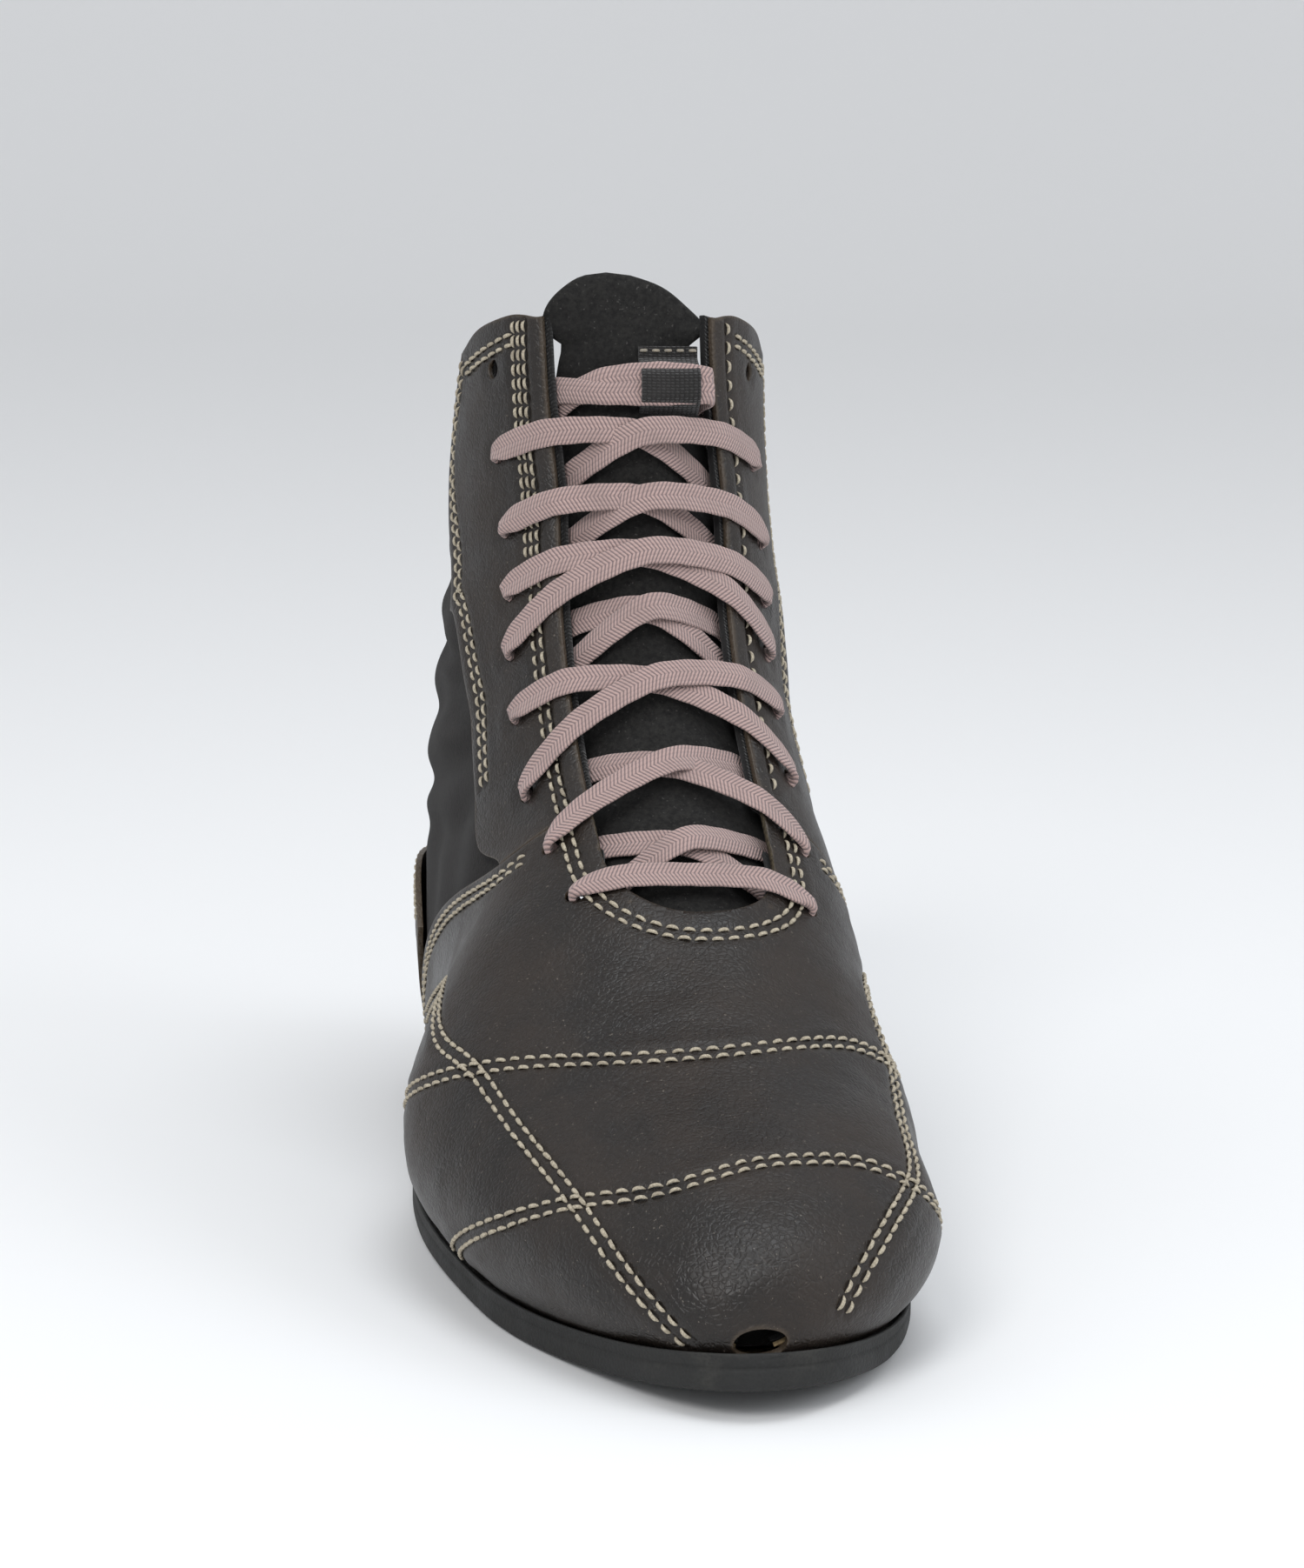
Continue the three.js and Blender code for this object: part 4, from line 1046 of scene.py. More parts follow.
def sew(name: str, seams: Sequence[Seam], length: float = 2.9, radius: float = 0.43, sink: float = 0.1,
        seed: int = 1) -> bpy.types.Object:
    """One mesh of thread stitches for several seams.

    A stitch is a short thread that rises out of one hole and goes down into the next: its line is a
    parabola over the leather, and its radius falls off to the ends as a fourth power.

    Args:
        name: the piece's name.
        seams: the seams to sew.
        length: the length of one stitch.
        radius: the thread's radius.
        sink: how far the ends go below the face.
        seed: for the small differences between stitches.

    Returns:
        The object.
    """
    parts = [seam.spots() for seam in seams]
    middle, way, normal = (np.concatenate(p) for p in zip(*parts))
    draw = np.random.default_rng(seed)
    count = len(middle)
    side = unit(np.cross(normal, way))
    lean = draw.normal(0, 0.05, count)[:, None]
    way = unit(way + side * lean)
    side = unit(np.cross(normal, way))
    size = length * (1 + draw.normal(0, 0.04, count))
    rings, sides = 7, 6
    t = np.linspace(-1, 1, rings)
    turn = np.linspace(0, 2 * np.pi, sides, endpoint=False)
    profile = radius * np.maximum(1 - t**4, 0.12) ** 0.5
    rise = radius * 0.75 * (1 - t**2) - sink - radius * 0.9 * t**4
    centre = middle[:, None, :] + way[:, None, :] * (t[None, :, None] * size[:, None, None] / 2)
    centre = centre + normal[:, None, :] * rise[None, :, None]
    ring = np.cos(turn)[None, None, :, None] * side[:, None, None, :]
    ring = ring * 1.15 + np.sin(turn)[None, None, :, None] * normal[:, None, None, :] * 0.85
    points = centre[:, :, None, :] + ring * profile[None, :, None, None]
    poles = np.stack([centre[:, 0], centre[:, -1]], 1)
    block = rings * sides + 2
    vertices = np.concatenate([points.reshape(count, -1, 3), poles], 1).reshape(-1, 3)
    quads = tube_faces(rings, sides)
    first, last = np.arange(sides), np.arange(sides) + (rings - 1) * sides
    tips = cap_fan(first, rings * sides, True) + cap_fan(last, rings * sides + 1, False)
    base = [tuple(q) for q in quads.tolist()] + tips
    faces = [tuple(v + n * block for v in f) for n in range(count) for f in base]
    return new_object(name, vertices, faces)


# ---------------------------------------------------------------- the seams' lines

VAMP_LINES = {
    "instep": [(7.14, -0.94), (6.27, -0.79), (5.34, -0.58), (4.94, -0.46), (4.60, -0.34), (4.23, -0.15),
               (4.20, 0.0), (4.38, 0.17), (4.66, 0.33), (4.94, 0.48), (5.6, 0.66), (6.3, 0.8)],
    "toe": [(4.6, -0.93), (4.14, -0.82), (3.36, -0.61), (2.90, -0.45), (2.59, -0.32), (2.50, -0.17),
            (2.59, -0.04), (2.68, 0.10), (2.80, 0.23), (2.87, 0.36), (3.1, 0.55), (3.6, 0.78), (4.0, 0.93)],
    "lateral": [(8.2, -0.84), (7.60, -0.75), (6.70, -0.62), (6.15, -0.56), (5.50, -0.51), (4.91, -0.45),
                (4.07, -0.44), (3.42, -0.44), (2.84, -0.46), (2.19, -0.54), (1.6, -0.68), (1.2, -0.86)],
    "medial": [(7.9, 0.74), (6.9, 0.62), (5.71, 0.50), (5.13, 0.49), (4.26, 0.48), (2.96, 0.42),
               (2.06, 0.40), (1.5, 0.48), (1.2, 0.66)],
}


def stay_line(side: Side) -> list[tuple[float, float]]:
    """The eyestay's outer seam, three millimetres inside its rear edge."""
    u = np.linspace(11.85, 8.15, 12)
    sign = side.value
    width = LAST.reach(u, sign * np.ones_like(u))
    return list(zip(u, sign * (STAY_EDGE(u) - 3.2 / width)))


def gap_line(side: Side, inset: float, low: float, top: float = 11.93) -> list[tuple[float, float]]:
    """A line beside the gap, at a distance inset from its edge."""
    u = np.linspace(low, top, 14)
    sign = side.value
    width = LAST.reach(u, sign * np.ones_like(u))
    return list(zip(u, sign * (LACING.gap_edge(u, sign) + inset / width)))


def throat_line(inset: float) -> list[tuple[float, float]]:
    """A line round the throat, inset from its edge: down one side, across below it and up the other."""
    half = LACING.gap_half + inset
    u = np.concatenate([[7.0, 6.75, 6.5], LACING.throat_ring + 0.75 - 0.98
                        * np.sin(np.linspace(0.15, np.pi / 2, 7))])
    h = np.concatenate([[half] * 3, half * np.cos(np.linspace(0.15, np.pi / 2, 7))])
    left = list(zip(u, LAST.across(u, -1.0, h)))
    right = list(zip(u[::-1][1:], LAST.across(u[::-1][1:], 1.0, h[::-1][1:])))
    return left + right


def grooves(p: np.ndarray, seams: Sequence[Seam]) -> np.ndarray:
    """How far seams pull a panel's face in: a narrow valley at each row, with a soft swell beside it."""
    total = np.zeros(p.shape[:-1])
    for seam in seams:
        d = nearest(p, seam.centres())
        total += -0.42 * gaussian(d, 0.85) + 0.16 * gaussian(d - 2.6, 1.5)
    return total


# ---------------------------------------------------------------- the lace


@dataclass
class Lace:
    """The flat lace: a ribbon along the same route as the CAD tube."""

    half_width: float = 3.3
    half_thickness: float = 0.5
    bridge: float = 2.9
    crossings: tuple[tuple[str, str], ...] = (
        ("under", "under"), ("over", "under"), ("over", "over"), ("under", "under"),
        ("over", "over"), ("under", "over"), ("under", "over"),
    )
    points: list = field(default_factory=list)
    ups: list = field(default_factory=list)
    pinches: list = field(default_factory=list)

    def depth(self, way: str) -> float:
        """The lace's distance from the last over or under an eyestay."""
        return LAYERS.over - 0.35 if way == "over" else LAYERS.under

    def note(self, u: float, w: float, d: float, pinch: float = 0.0) -> tuple[np.ndarray, np.ndarray, float]:
        """A route point on the last, with the up-the-boot direction there and how pinched the lace is."""
        up = unit(LAST.point(u + 0.01, w) - LAST.point(u - 0.01, w))
        return skin(u, w, d), up, pinch

    def spot(self, u: float, h: float, d: float) -> tuple[np.ndarray, np.ndarray, float]:
        """A route point h millimetres to the side of the centre line."""
        return self.note(u, float(LAST.across(u, 1.0 if h > 0 else -1.0, abs(h))), d)

    def eyelet(self, row: int, side: int, d: float) -> tuple[np.ndarray, np.ndarray, float]:
        """A route point at an eyelet."""
        u, w = LACING.eyelet(row, side)
        return self.note(u, w, d, 1.0)

    def climb(self, start: int) -> list:
        """Half of the lacing: from the lowest row on one side, crossing at each step, to the last laced row."""
        low = LAYERS.tongue_outer + LAYERS.lace / 2 + self.bridge
        high = low + LAYERS.lace + 0.6
        route = []
        for row, (leave, arrive) in enumerate(self.crossings):
            side = start if row % 2 == 0 else -start
            u0, u1 = LACING.eyelet_rings[row], LACING.eyelet_rings[row + 1]
            near, far = u0 + 0.2 * (u1 - u0), u0 + 0.8 * (u1 - u0)
            near_edge = LACING.gap_half - (3 if near < 6.6 else 0)
            far_edge = LACING.gap_half - (3 if far < 6.6 else 0)
            route.append(self.eyelet(row, side, self.depth(leave)))
            route.append(self.spot(near, side * near_edge, self.depth(leave)))
            route.append(self.spot((u0 + u1) / 2, 0.0, high if side < 0 else low))
            route.append(self.spot(far, -side * far_edge, self.depth(arrive)))
            route.append(self.eyelet(row + 1, -side, self.depth(arrive)))
        return route

    def tail(self, side: int, tongue: "Tongue") -> list:
        """A free end: up to the loop, through it, and down inside the boot behind the tongue."""
        along = LACING.loop_length / 2 + (1.7 if side < 0 else -1.7)
        enter, leave = (-8.0, LACING.loop_width + 2.5) if side < 0 else (LACING.loop_width + 3.0, -9.0)
        back = LAYERS.tongue_inner - LAYERS.lace / 2 - 2
        sideways = np.array([1.0, 0.0, 0.0])
        up = tongue.up
        route = [
            self.eyelet(7, side, LAYERS.under),
            self.spot(10.98, side * (LACING.gap_half - 1), LAYERS.under),
            (tongue.loop_point(along, LACING.loop_stand_off / 2, enter), up, 0.45),
            (tongue.loop_point(along, LACING.loop_stand_off / 2, leave), up, 0.45),
            self.spot(11.12, -side * (LACING.gap_half + 0.5), LAYERS.under + 0.6),
        ]
        for u, h, d, turned in ((11.1, 23.5, LAYERS.under - 2.6, 0.3), (10.95, 25, back + 1, 0.7),
                                (10.4, 22, back, 1), (9.7, 18, back, 1), (9.0, 14, back, 1)):
            point, up_here, pinch = self.spot(u, -side * h, d)
            route.append((point, unit(up_here * (1 - turned) + sideways * turned * -side), pinch))
        return route

    def plan(self, tongue: "Tongue") -> None:
        """The whole route: tail, climb, the bar over the throat, climb, tail."""
        first = self.climb(1)[::-1]
        row0 = LACING.eyelet_rings[0]
        low = LAYERS.tongue_outer + LAYERS.lace / 2 + self.bridge
        bar = [
            self.eyelet(0, 1, self.depth("over")),
            self.spot(row0, 16.0, self.depth("over")),
            self.spot(row0, 0.0, low + 1.6),
            self.spot(row0, -16.0, self.depth("over")),
            self.eyelet(0, -1, self.depth("over")),
        ]
        whole = self.tail(-1, tongue)[::-1] + first + bar + self.climb(-1) + self.tail(1, tongue)
        self.points = [p for p, _, _ in whole]
        self.ups = [u for _, u, _ in whole]
        self.pinches = [s for _, _, s in whole]

    def build(self, wardrobe: Wardrobe) -> bpy.types.Object:
        """The ribbon: a flat superellipse carried along a tight spline, pinched where it passes a hole.

        The centre line is a spline through the route's points with a knot spacing of the square root
        of their distance. The width direction is the up-the-boot direction made square to the line.
        """
        route = np.array(self.points)
        chord = np.sqrt(np.linalg.norm(np.diff(route, axis=0), axis=1))
        s = np.concatenate([[0], np.cumsum(chord)])
        fine = np.linspace(0, s[-1], 2400)
        dense = catmull(s, route, fine)
        ups = np.stack([np.interp(fine, s, np.array(self.ups)[:, k]) for k in range(3)], -1)
        length = np.concatenate([[0], np.cumsum(np.linalg.norm(np.diff(dense, axis=0), axis=1))])
        even = np.linspace(0, length[-1], int(length[-1] / 0.95))
        line = np.stack([np.interp(even, length, dense[:, k]) for k in range(3)], -1)
        up = np.stack([np.interp(even, length, ups[:, k]) for k in range(3)], -1)
        tangent = unit(np.gradient(line, axis=0))
        up = unit(up - tangent * (up * tangent).sum(-1, keepdims=True))
        flat = np.cross(tangent, up)
        held = route[np.array(self.pinches) > 0.9]
        pinch = gaussian(np.linalg.norm(line[:, None] - held[None], axis=-1).min(1), 3.6)
        loops = route[(np.array(self.pinches) > 0.2) & (np.array(self.pinches) < 0.9)]
        pinch = np.maximum(pinch, 0.35 * gaussian(np.linalg.norm(line[:, None] - loops[None],
                                                                 axis=-1).min(1), 9))
        half = self.half_width * (1 - 0.46 * pinch) * (1 + 0.02 * np.sin(even * 0.9))
        thick = self.half_thickness * (1 + 0.9 * pinch)
        sides = 20
        turn = np.linspace(0, 2 * np.pi, sides, endpoint=False)
        c, q = np.cos(turn), np.sin(turn)
        x = np.sign(c) * np.abs(c) ** 0.7
        y = np.sign(q) * np.abs(q) ** 0.55
        cup = 0.55 * pinch[:, None] * (x[None] ** 2 - 0.4) * half[:, None] * 0.35
        points = line[:, None] + up[:, None] * (x[None, :, None] * half[:, None, None])
        points = points + flat[:, None] * (y[None] * thick[:, None] + cup)[..., None]
        rings = len(line)
        vertices = np.concatenate([points.reshape(-1, 3), line[[0, -1]]])
        faces = [tuple(f) for f in tube_faces(rings, sides).tolist()]
        faces += cap_fan(np.arange(sides), rings * sides, True)
        faces += cap_fan(np.arange(sides) + (rings - 1) * sides, rings * sides + 1, False)
        piece = new_object("lace_ribbon", vertices, faces)
        uv = np.stack([np.broadcast_to(x[None] * half[:, None], (rings, sides)),
                       np.broadcast_to(even[:, None], (rings, sides))], -1) * MM
        set_uv(piece.data, np.concatenate([uv.reshape(-1, 2), [[0, 0], [0, even[-1] * MM]]]))
        face_out(piece)
        dress(piece, wardrobe.lace)
        place(piece, "lace", "lace")
        return piece


def catmull(s: np.ndarray, p: np.ndarray, x: np.ndarray) -> np.ndarray:
    """A cubic Hermite curve through points, with each slope taken from the two neighbours."""
    slope = np.gradient(p, s, axis=0)
    i = np.clip(np.searchsorted(s, x, side="right") - 1, 0, len(s) - 2)
    h = (s[i + 1] - s[i])[:, None]
    t = (x - s[i])[:, None] / h
    a, b, m0, m1 = p[i], p[i + 1], slope[i] * h * 0.8, slope[i + 1] * h * 0.8
    return ((2 * t**3 - 3 * t**2 + 1) * a
            + (t**3 - 2 * t**2 + t) * m0
            + (3 * t**2 - 2 * t**3) * b + (t**3 - t**2) * m1)


def face_out(piece: bpy.types.Object) -> None:
    """Turns a closed mesh's faces outwards where its signed volume is negative."""
    mesh = piece.data
    mesh.calc_loop_triangles()
    co = np.empty(len(mesh.vertices) * 3)
    mesh.vertices.foreach_get("co", co)
    index = np.empty(len(mesh.loop_triangles) * 3, np.int32)
    mesh.loop_triangles.foreach_get("vertices", index)
    a, b, c = co.reshape(-1, 3)[index.reshape(-1, 3)].transpose(1, 0, 2)
    if np.einsum("ij,ij->", a, np.cross(b, c)) < 0:
        mesh.flip_normals()


# ---------------------------------------------------------------- the tongue and its loop


@dataclass
class Tongue:
    """The padded felt tongue, whose top folds at the hinge, and the loop sewn on it."""

    rows: int = 150
    sides: int = 72
    flatness: float = 1.0

    def __post_init__(self) -> None:
        """The hinge's place and directions, the same as the CAD source's."""
        self.half = Spline(
            [5.0, 5.6, 6.4, 7.5, 9, 9.8, 10.4, 10.9, 11.2, 11.7],
            [12, 19, 25, 29, 30, 29.5, 27, 24, 21, 19.5],
        )
        axis_depth = (LAYERS.tongue_outer + LAYERS.tongue_inner) / 2
        ring = np.array(LACING.hinge_ring)
        self.hinge = skin(ring, np.array(0.0), axis_depth, self.surface)
        out = normals(self.surface, ring, np.array(0.0)) * [0, 1, 1]
        self.out = unit(out)
        self.up = -np.cross([1.0, 0, 0], self.out)
        self.across = np.cross(self.up, self.out)
        radius = LAYERS.tongue / 2
        base = (self.hinge + self.out * (radius + LACING.loop_gap)
                - self.up * (LACING.loop_length + radius + 2))
        base[0] += LACING.loop_side - (LACING.loop_width / 2) * np.sign(self.across[0])
        self.loop_base = base
        self.flatness = 0.25

    def surface(self, u: np.ndarray, w: np.ndarray) -> np.ndarray:
        """The last, flattened across towards the collar."""
        return LAST.point(u, w, self.flatness * smoothstep(u, 10.9, 11.5))

    def loop_point(self, along: float, height: float, across: float) -> np.ndarray:
        """A point in the loop's own directions."""
        across = across if self.across[0] > 0 else LACING.loop_width - across
        return self.loop_base + self.up * along + self.out * height + self.across * across

    def build(self, wardrobe: Wardrobe) -> None:
        """One closed padded sheet: flat oval sections carried up the tongue and over its free top."""
        seam = 0.5 - 0.5 * np.cos(np.linspace(0, np.pi, self.rows))
        straight = np.linspace(0, 1, self.rows)
        place_ = 0.55 * straight + 0.45 * seam
        low_u, top_len = 5.08, LACING.flap_height
        body_len = 150.0
        s = place_ * (body_len + top_len)
        u = np.minimum(low_u + (LACING.hinge_ring - low_u) * s / body_len, LACING.hinge_ring)
        past = np.clip(s - body_len, 0, None)
        share = np.clip(past / top_len, 0, 1)
        start = np.clip(s / 9.0, 0, 1)
        half = self.half(u) * np.sqrt(np.clip(1 - (1 - start) ** 2, 0.0004, 1))
        deep = np.sqrt(np.clip(1 - share, 0, 1))
        knots = [0, 0.122, 0.265, 0.469, 0.678, 0.837, 1]
        left = Spline(knots, [-0.25, -0.4, -0.56, -0.74, -0.92, -1, -1])(deep)
        right = Spline([0, 0.122, 0.265, 0.469, 0.806, 0.943, 1],
                       [-0.25, -0.06, 0.11, 0.4, 0.8, 0.97, 1])(deep)
        shift = half * (right + left) / 2
        half = np.maximum(half * (right - left) / 2, 0.25)
        turn = np.linspace(0, 2 * np.pi, self.sides, endpoint=False)
        c, q = np.cos(turn), np.sin(turn)
        x = np.sign(c) * np.abs(c) ** 0.8
        y = np.sign(q) * np.abs(q) ** 0.6
        h = x[None] * half[:, None] + shift[:, None]
        sign = np.where(h < 0, -1.0, 1.0)
        uu = np.broadcast_to(u[:, None], h.shape)
        w = LAST.across(uu, sign, np.abs(h))
        middle = (LAYERS.tongue_outer + LAYERS.tongue_inner) / 2
        lower = skin(uu, w, middle, self.surface)
        normal = normals(self.surface, uu, w)
        upper = self.hinge + self.up * past[:, None, None]
        upper = upper + np.array([1.0, 0, 0]) * h[..., None]
        curl = 3.6 * (1 - smoothstep(past, 0, 9))[:, None] * (h / 19.5) ** 2
        upper = upper - self.out * curl[..., None]
        on_top = (past > 0)[:, None, None]
        base = np.where(on_top, upper, lower)
        normal = np.where(on_top, self.out, normal)
        blend_in = smoothstep(s, body_len - 8, body_len)[:, None, None]
        normal = unit(normal * (1 - blend_in) + self.out * blend_in)
        puff = (0.9 * np.clip(1 - (h / np.maximum(half[:, None], 1)) ** 2, 0, 1)
                * (1 - smoothstep(s, 120, 140)[:, None]))
        radius = LAYERS.tongue / 2
        thick = np.where(y[None] > 0, radius + puff, radius)
        ease = np.sqrt(np.clip(1 - share[:, None] ** 6, 0.03, 1))
        wave = 0.32 * ripple(base, 26.0, 11) + 0.12 * ripple(base, 9.0, 12)
        points = base + normal * ((y[None] * thick * ease) + wave)[..., None]
        vertices = np.concatenate([points.reshape(-1, 3), points[0].mean(0, keepdims=True),
                                   points[-1].mean(0, keepdims=True)])
        faces = [tuple(f) for f in tube_faces(self.rows, self.sides).tolist()]
        faces += cap_fan(np.arange(self.sides), self.rows * self.sides, True)
        faces += cap_fan(np.arange(self.sides) + (self.rows - 1) * self.sides, self.rows * self.sides + 1,
                         False)
        piece = new_object("tongue_felt", vertices, faces)
        face_out(piece)
        dress(piece, wardrobe.felt)
        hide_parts("tongue_lower", "tongue_flap")
        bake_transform(piece)
        self.build_loop(wardrobe)

    def build_loop(self, wardrobe: Wardrobe) -> None:
        """The tape loop: an arch over the tongue with flat feet, and stitches on both feet."""
        length, stand, strap = LACING.loop_length, LACING.loop_stand_off, LACING.loop_strap
        s = np.linspace(0, 1, 60)
        along = length * s
        arch = smoothstep(s, 0.14, 0.40) * (1 - smoothstep(s, 0.60, 0.86))
        columns = np.linspace(0, LACING.loop_width, 15)
        sag = 0.25 * np.sin(np.pi * columns / LACING.loop_width)
        lift = -LACING.loop_gap - 0.35 + (stand + LACING.loop_gap + 0.2) * arch
        base = self.loop_base + self.up * along[:, None, None] + self.across * columns[None, :, None]
        slope = np.gradient(lift, along)
        normal = unit(self.out - self.up * slope[:, None])[:, None]
        low = base + self.out * (lift[:, None] + sag[None] * arch[:, None])[..., None]
        outer, inner = low + normal * strap, low
        loop = thick_grid("tongue_loop", outer, inner, 0.25)
        dress(loop, wardrobe.tape, wardrobe.tape, wardrobe.tape)
        face_out(loop)
        place(loop, "webbing", "lace_loop")
        rows = []
        for foot in (0.055, 0.945):
            points = (self.loop_base + self.up * (length * foot)
                      + self.across * np.linspace(1.2, LACING.loop_width - 1.2, 5)[:, None])
            lifted = points + self.out * (strap - LACING.loop_gap - 0.3)
            rows.append((lifted, np.broadcast_to(self.across, lifted.shape),
                         np.broadcast_to(self.out, lifted.shape)))
        stitches = sew_at("loop_stitches", rows, 2.2, 0.34)
        dress(stitches, wardrobe.grey_thread)
        place(stitches, "webbing")


def sew_at(name: str, rows: Sequence[tuple[np.ndarray, np.ndarray, np.ndarray]], length: float,
           radius: float) -> bpy.types.Object:
    """Stitches at given middles, directions and normals."""

    class Given:
        """A seam whose stitches' places are already known."""

        def spots(self) -> tuple[np.ndarray, np.ndarray, np.ndarray]:
            """The places, directions and normals."""
            return tuple(np.concatenate(part) for part in zip(*rows))

    return sew(name, [Given()], length, radius)


# ---------------------------------------------------------------- the leather and cloth panels


def spread(count: int, ends: float = 0.5) -> np.ndarray:
    """Numbers from 0 to 1, closer together at both ends: a line mixed with a cosine."""
    t = np.linspace(0, 1, count)
    return (1 - ends) * t + ends * (0.5 - 0.5 * np.cos(np.pi * t))


@dataclass
class Vamp:
    """The leather over the forefoot, with its stitched lines."""

    rows: int = 190
    columns: int = 230

    def seams(self) -> list[Seam]:
        """The double lines over the toe and instep and along both sides, and the rows at the throat."""
        found = [Seam(line) for line in VAMP_LINES.values()]
        found.append(Seam(throat_line(5.6), rows=(-1.3, 1.3)))
        for side in Side:
            edge = [(float(VAMP_END(w)) - 0.16, side.value * w) for w in np.linspace(0.36, 0.97, 9)]
            found.append(Seam(edge, rows=(-1.3, 1.3)))
        return found

    def build(self, wardrobe: Wardrobe) -> None:
        """The sheet from the toe tip to the rear seam, with the throat and four eyelets cut out."""
        b = spread(self.columns, 0.35)
        w = 2 * b - 1
        a = spread(self.rows, 0.3) ** 1.12
        start = 0.12
        u = start + (VAMP_END(np.abs(w))[None] - start) * a[:, None]
        w = np.broadcast_to(w, u.shape)
        seams = self.seams()
        outer = skin(u, w, LAYERS.shell[1])
        relief = grooves(outer, seams) + 0.16 * ripple(outer, 30.0, 3) + 0.06 * ripple(outer, 11.0, 4)
        flex = gaussian(u - 4.5, 0.6) * gaussian(w, 0.45) * 0.12 * np.sin(u * 15.0 + 2.5 * w)
        rim = smoothstep(edge_distance(outer), 0, 1.2)
        outer = outer + normals(LAST.point, u, w) * ((relief + flex) * rim)[..., None]
        inner = skin(u, w, LAYERS.shell[0])
        to_throat = nearest(outer, skin(*np.array(throat_line(0.0)).T, LAYERS.shell[1]))
        piece = thick_grid("vamp_leather", outer, inner, edge=to_throat)
        dress(piece, wardrobe.leather, wardrobe.cut, wardrobe.lining)
        self.cut_throat(piece, wardrobe.cut)
        spots = [LACING.eyelet(row, side.value) for side in Side for row in range(LACING.vamp_eyelets)]
        punch_eyelets(piece, spots)
        face_out(piece)
        place(piece, "leather", "vamp")
        stitches = sew("vamp_stitches", seams, seed=5)
        dress(stitches, wardrobe.thread)
        place(stitches, "leather")

    @staticmethod
    def cut_throat(piece: bpy.types.Object, material: bpy.types.Material) -> None:
        """Cuts the throat: a thick patch whose half width at ring u is that of the gap's edge."""
        a = np.linspace(0, 1, 40)[:, None]
        b = np.linspace(-1, 1, 33)[None]
        u = LACING.throat_ring + 0.004 + 2.2 * a**2 + 0 * b
        side = np.where(b < 0, -1.0, 1.0) + 0 * u
        w = b * LACING.gap_edge(u, side)
        cutter = thick_grid("throat", skin(u, w, 9.0), skin(u, w, -9.0), 0)
        face_out(cutter)
        for _ in range(3):
            cutter.data.materials.append(material)
        cut_with(piece, cutter)


def punch_eyelets(piece: bpy.types.Object, spots: Sequence[tuple[float, float]]) -> None:
    """Cuts eyelets at places given as (u, w)."""
    u, w = np.array(spots).T
    punch(piece, skin(u, w, 0.0), normals(LAST.point, u, w), LACING.eyelet_diameter / 2)


def side_grid(side: Side, first: Callable, last: float, near: Callable, far: Callable, rows: int,
              columns: int,
              ends: float = 0.4) -> tuple[np.ndarray, np.ndarray]:
    """The grid of a panel on one side of the boot.

    Args:
        side: which side.
        first: the panel's lowest ring at |w|.
        last: its highest ring.
        near: |w| of its front edge at a ring.
        far: |w| of its rear edge.
        rows: points up the boot.
        columns: points round it.
        ends: how much closer the points lie at the edges.

    Returns:
        u and w on the grid, with w rising along the columns.
    """
    a = spread(rows, ends)[:, None]
    b = spread(columns, ends)[None]
    share = b if side is Side.MEDIAL else 1 - b
    u = first(np.full_like(a * b, 0.5)) * (1 - a) + last * a
    w = np.full_like(u, 0.5)
    for _ in range(6):
        w = near(u) * (1 - share) + far(u) * share
        u = first(w) * (1 - a) + last * a
    return u, side.value * w


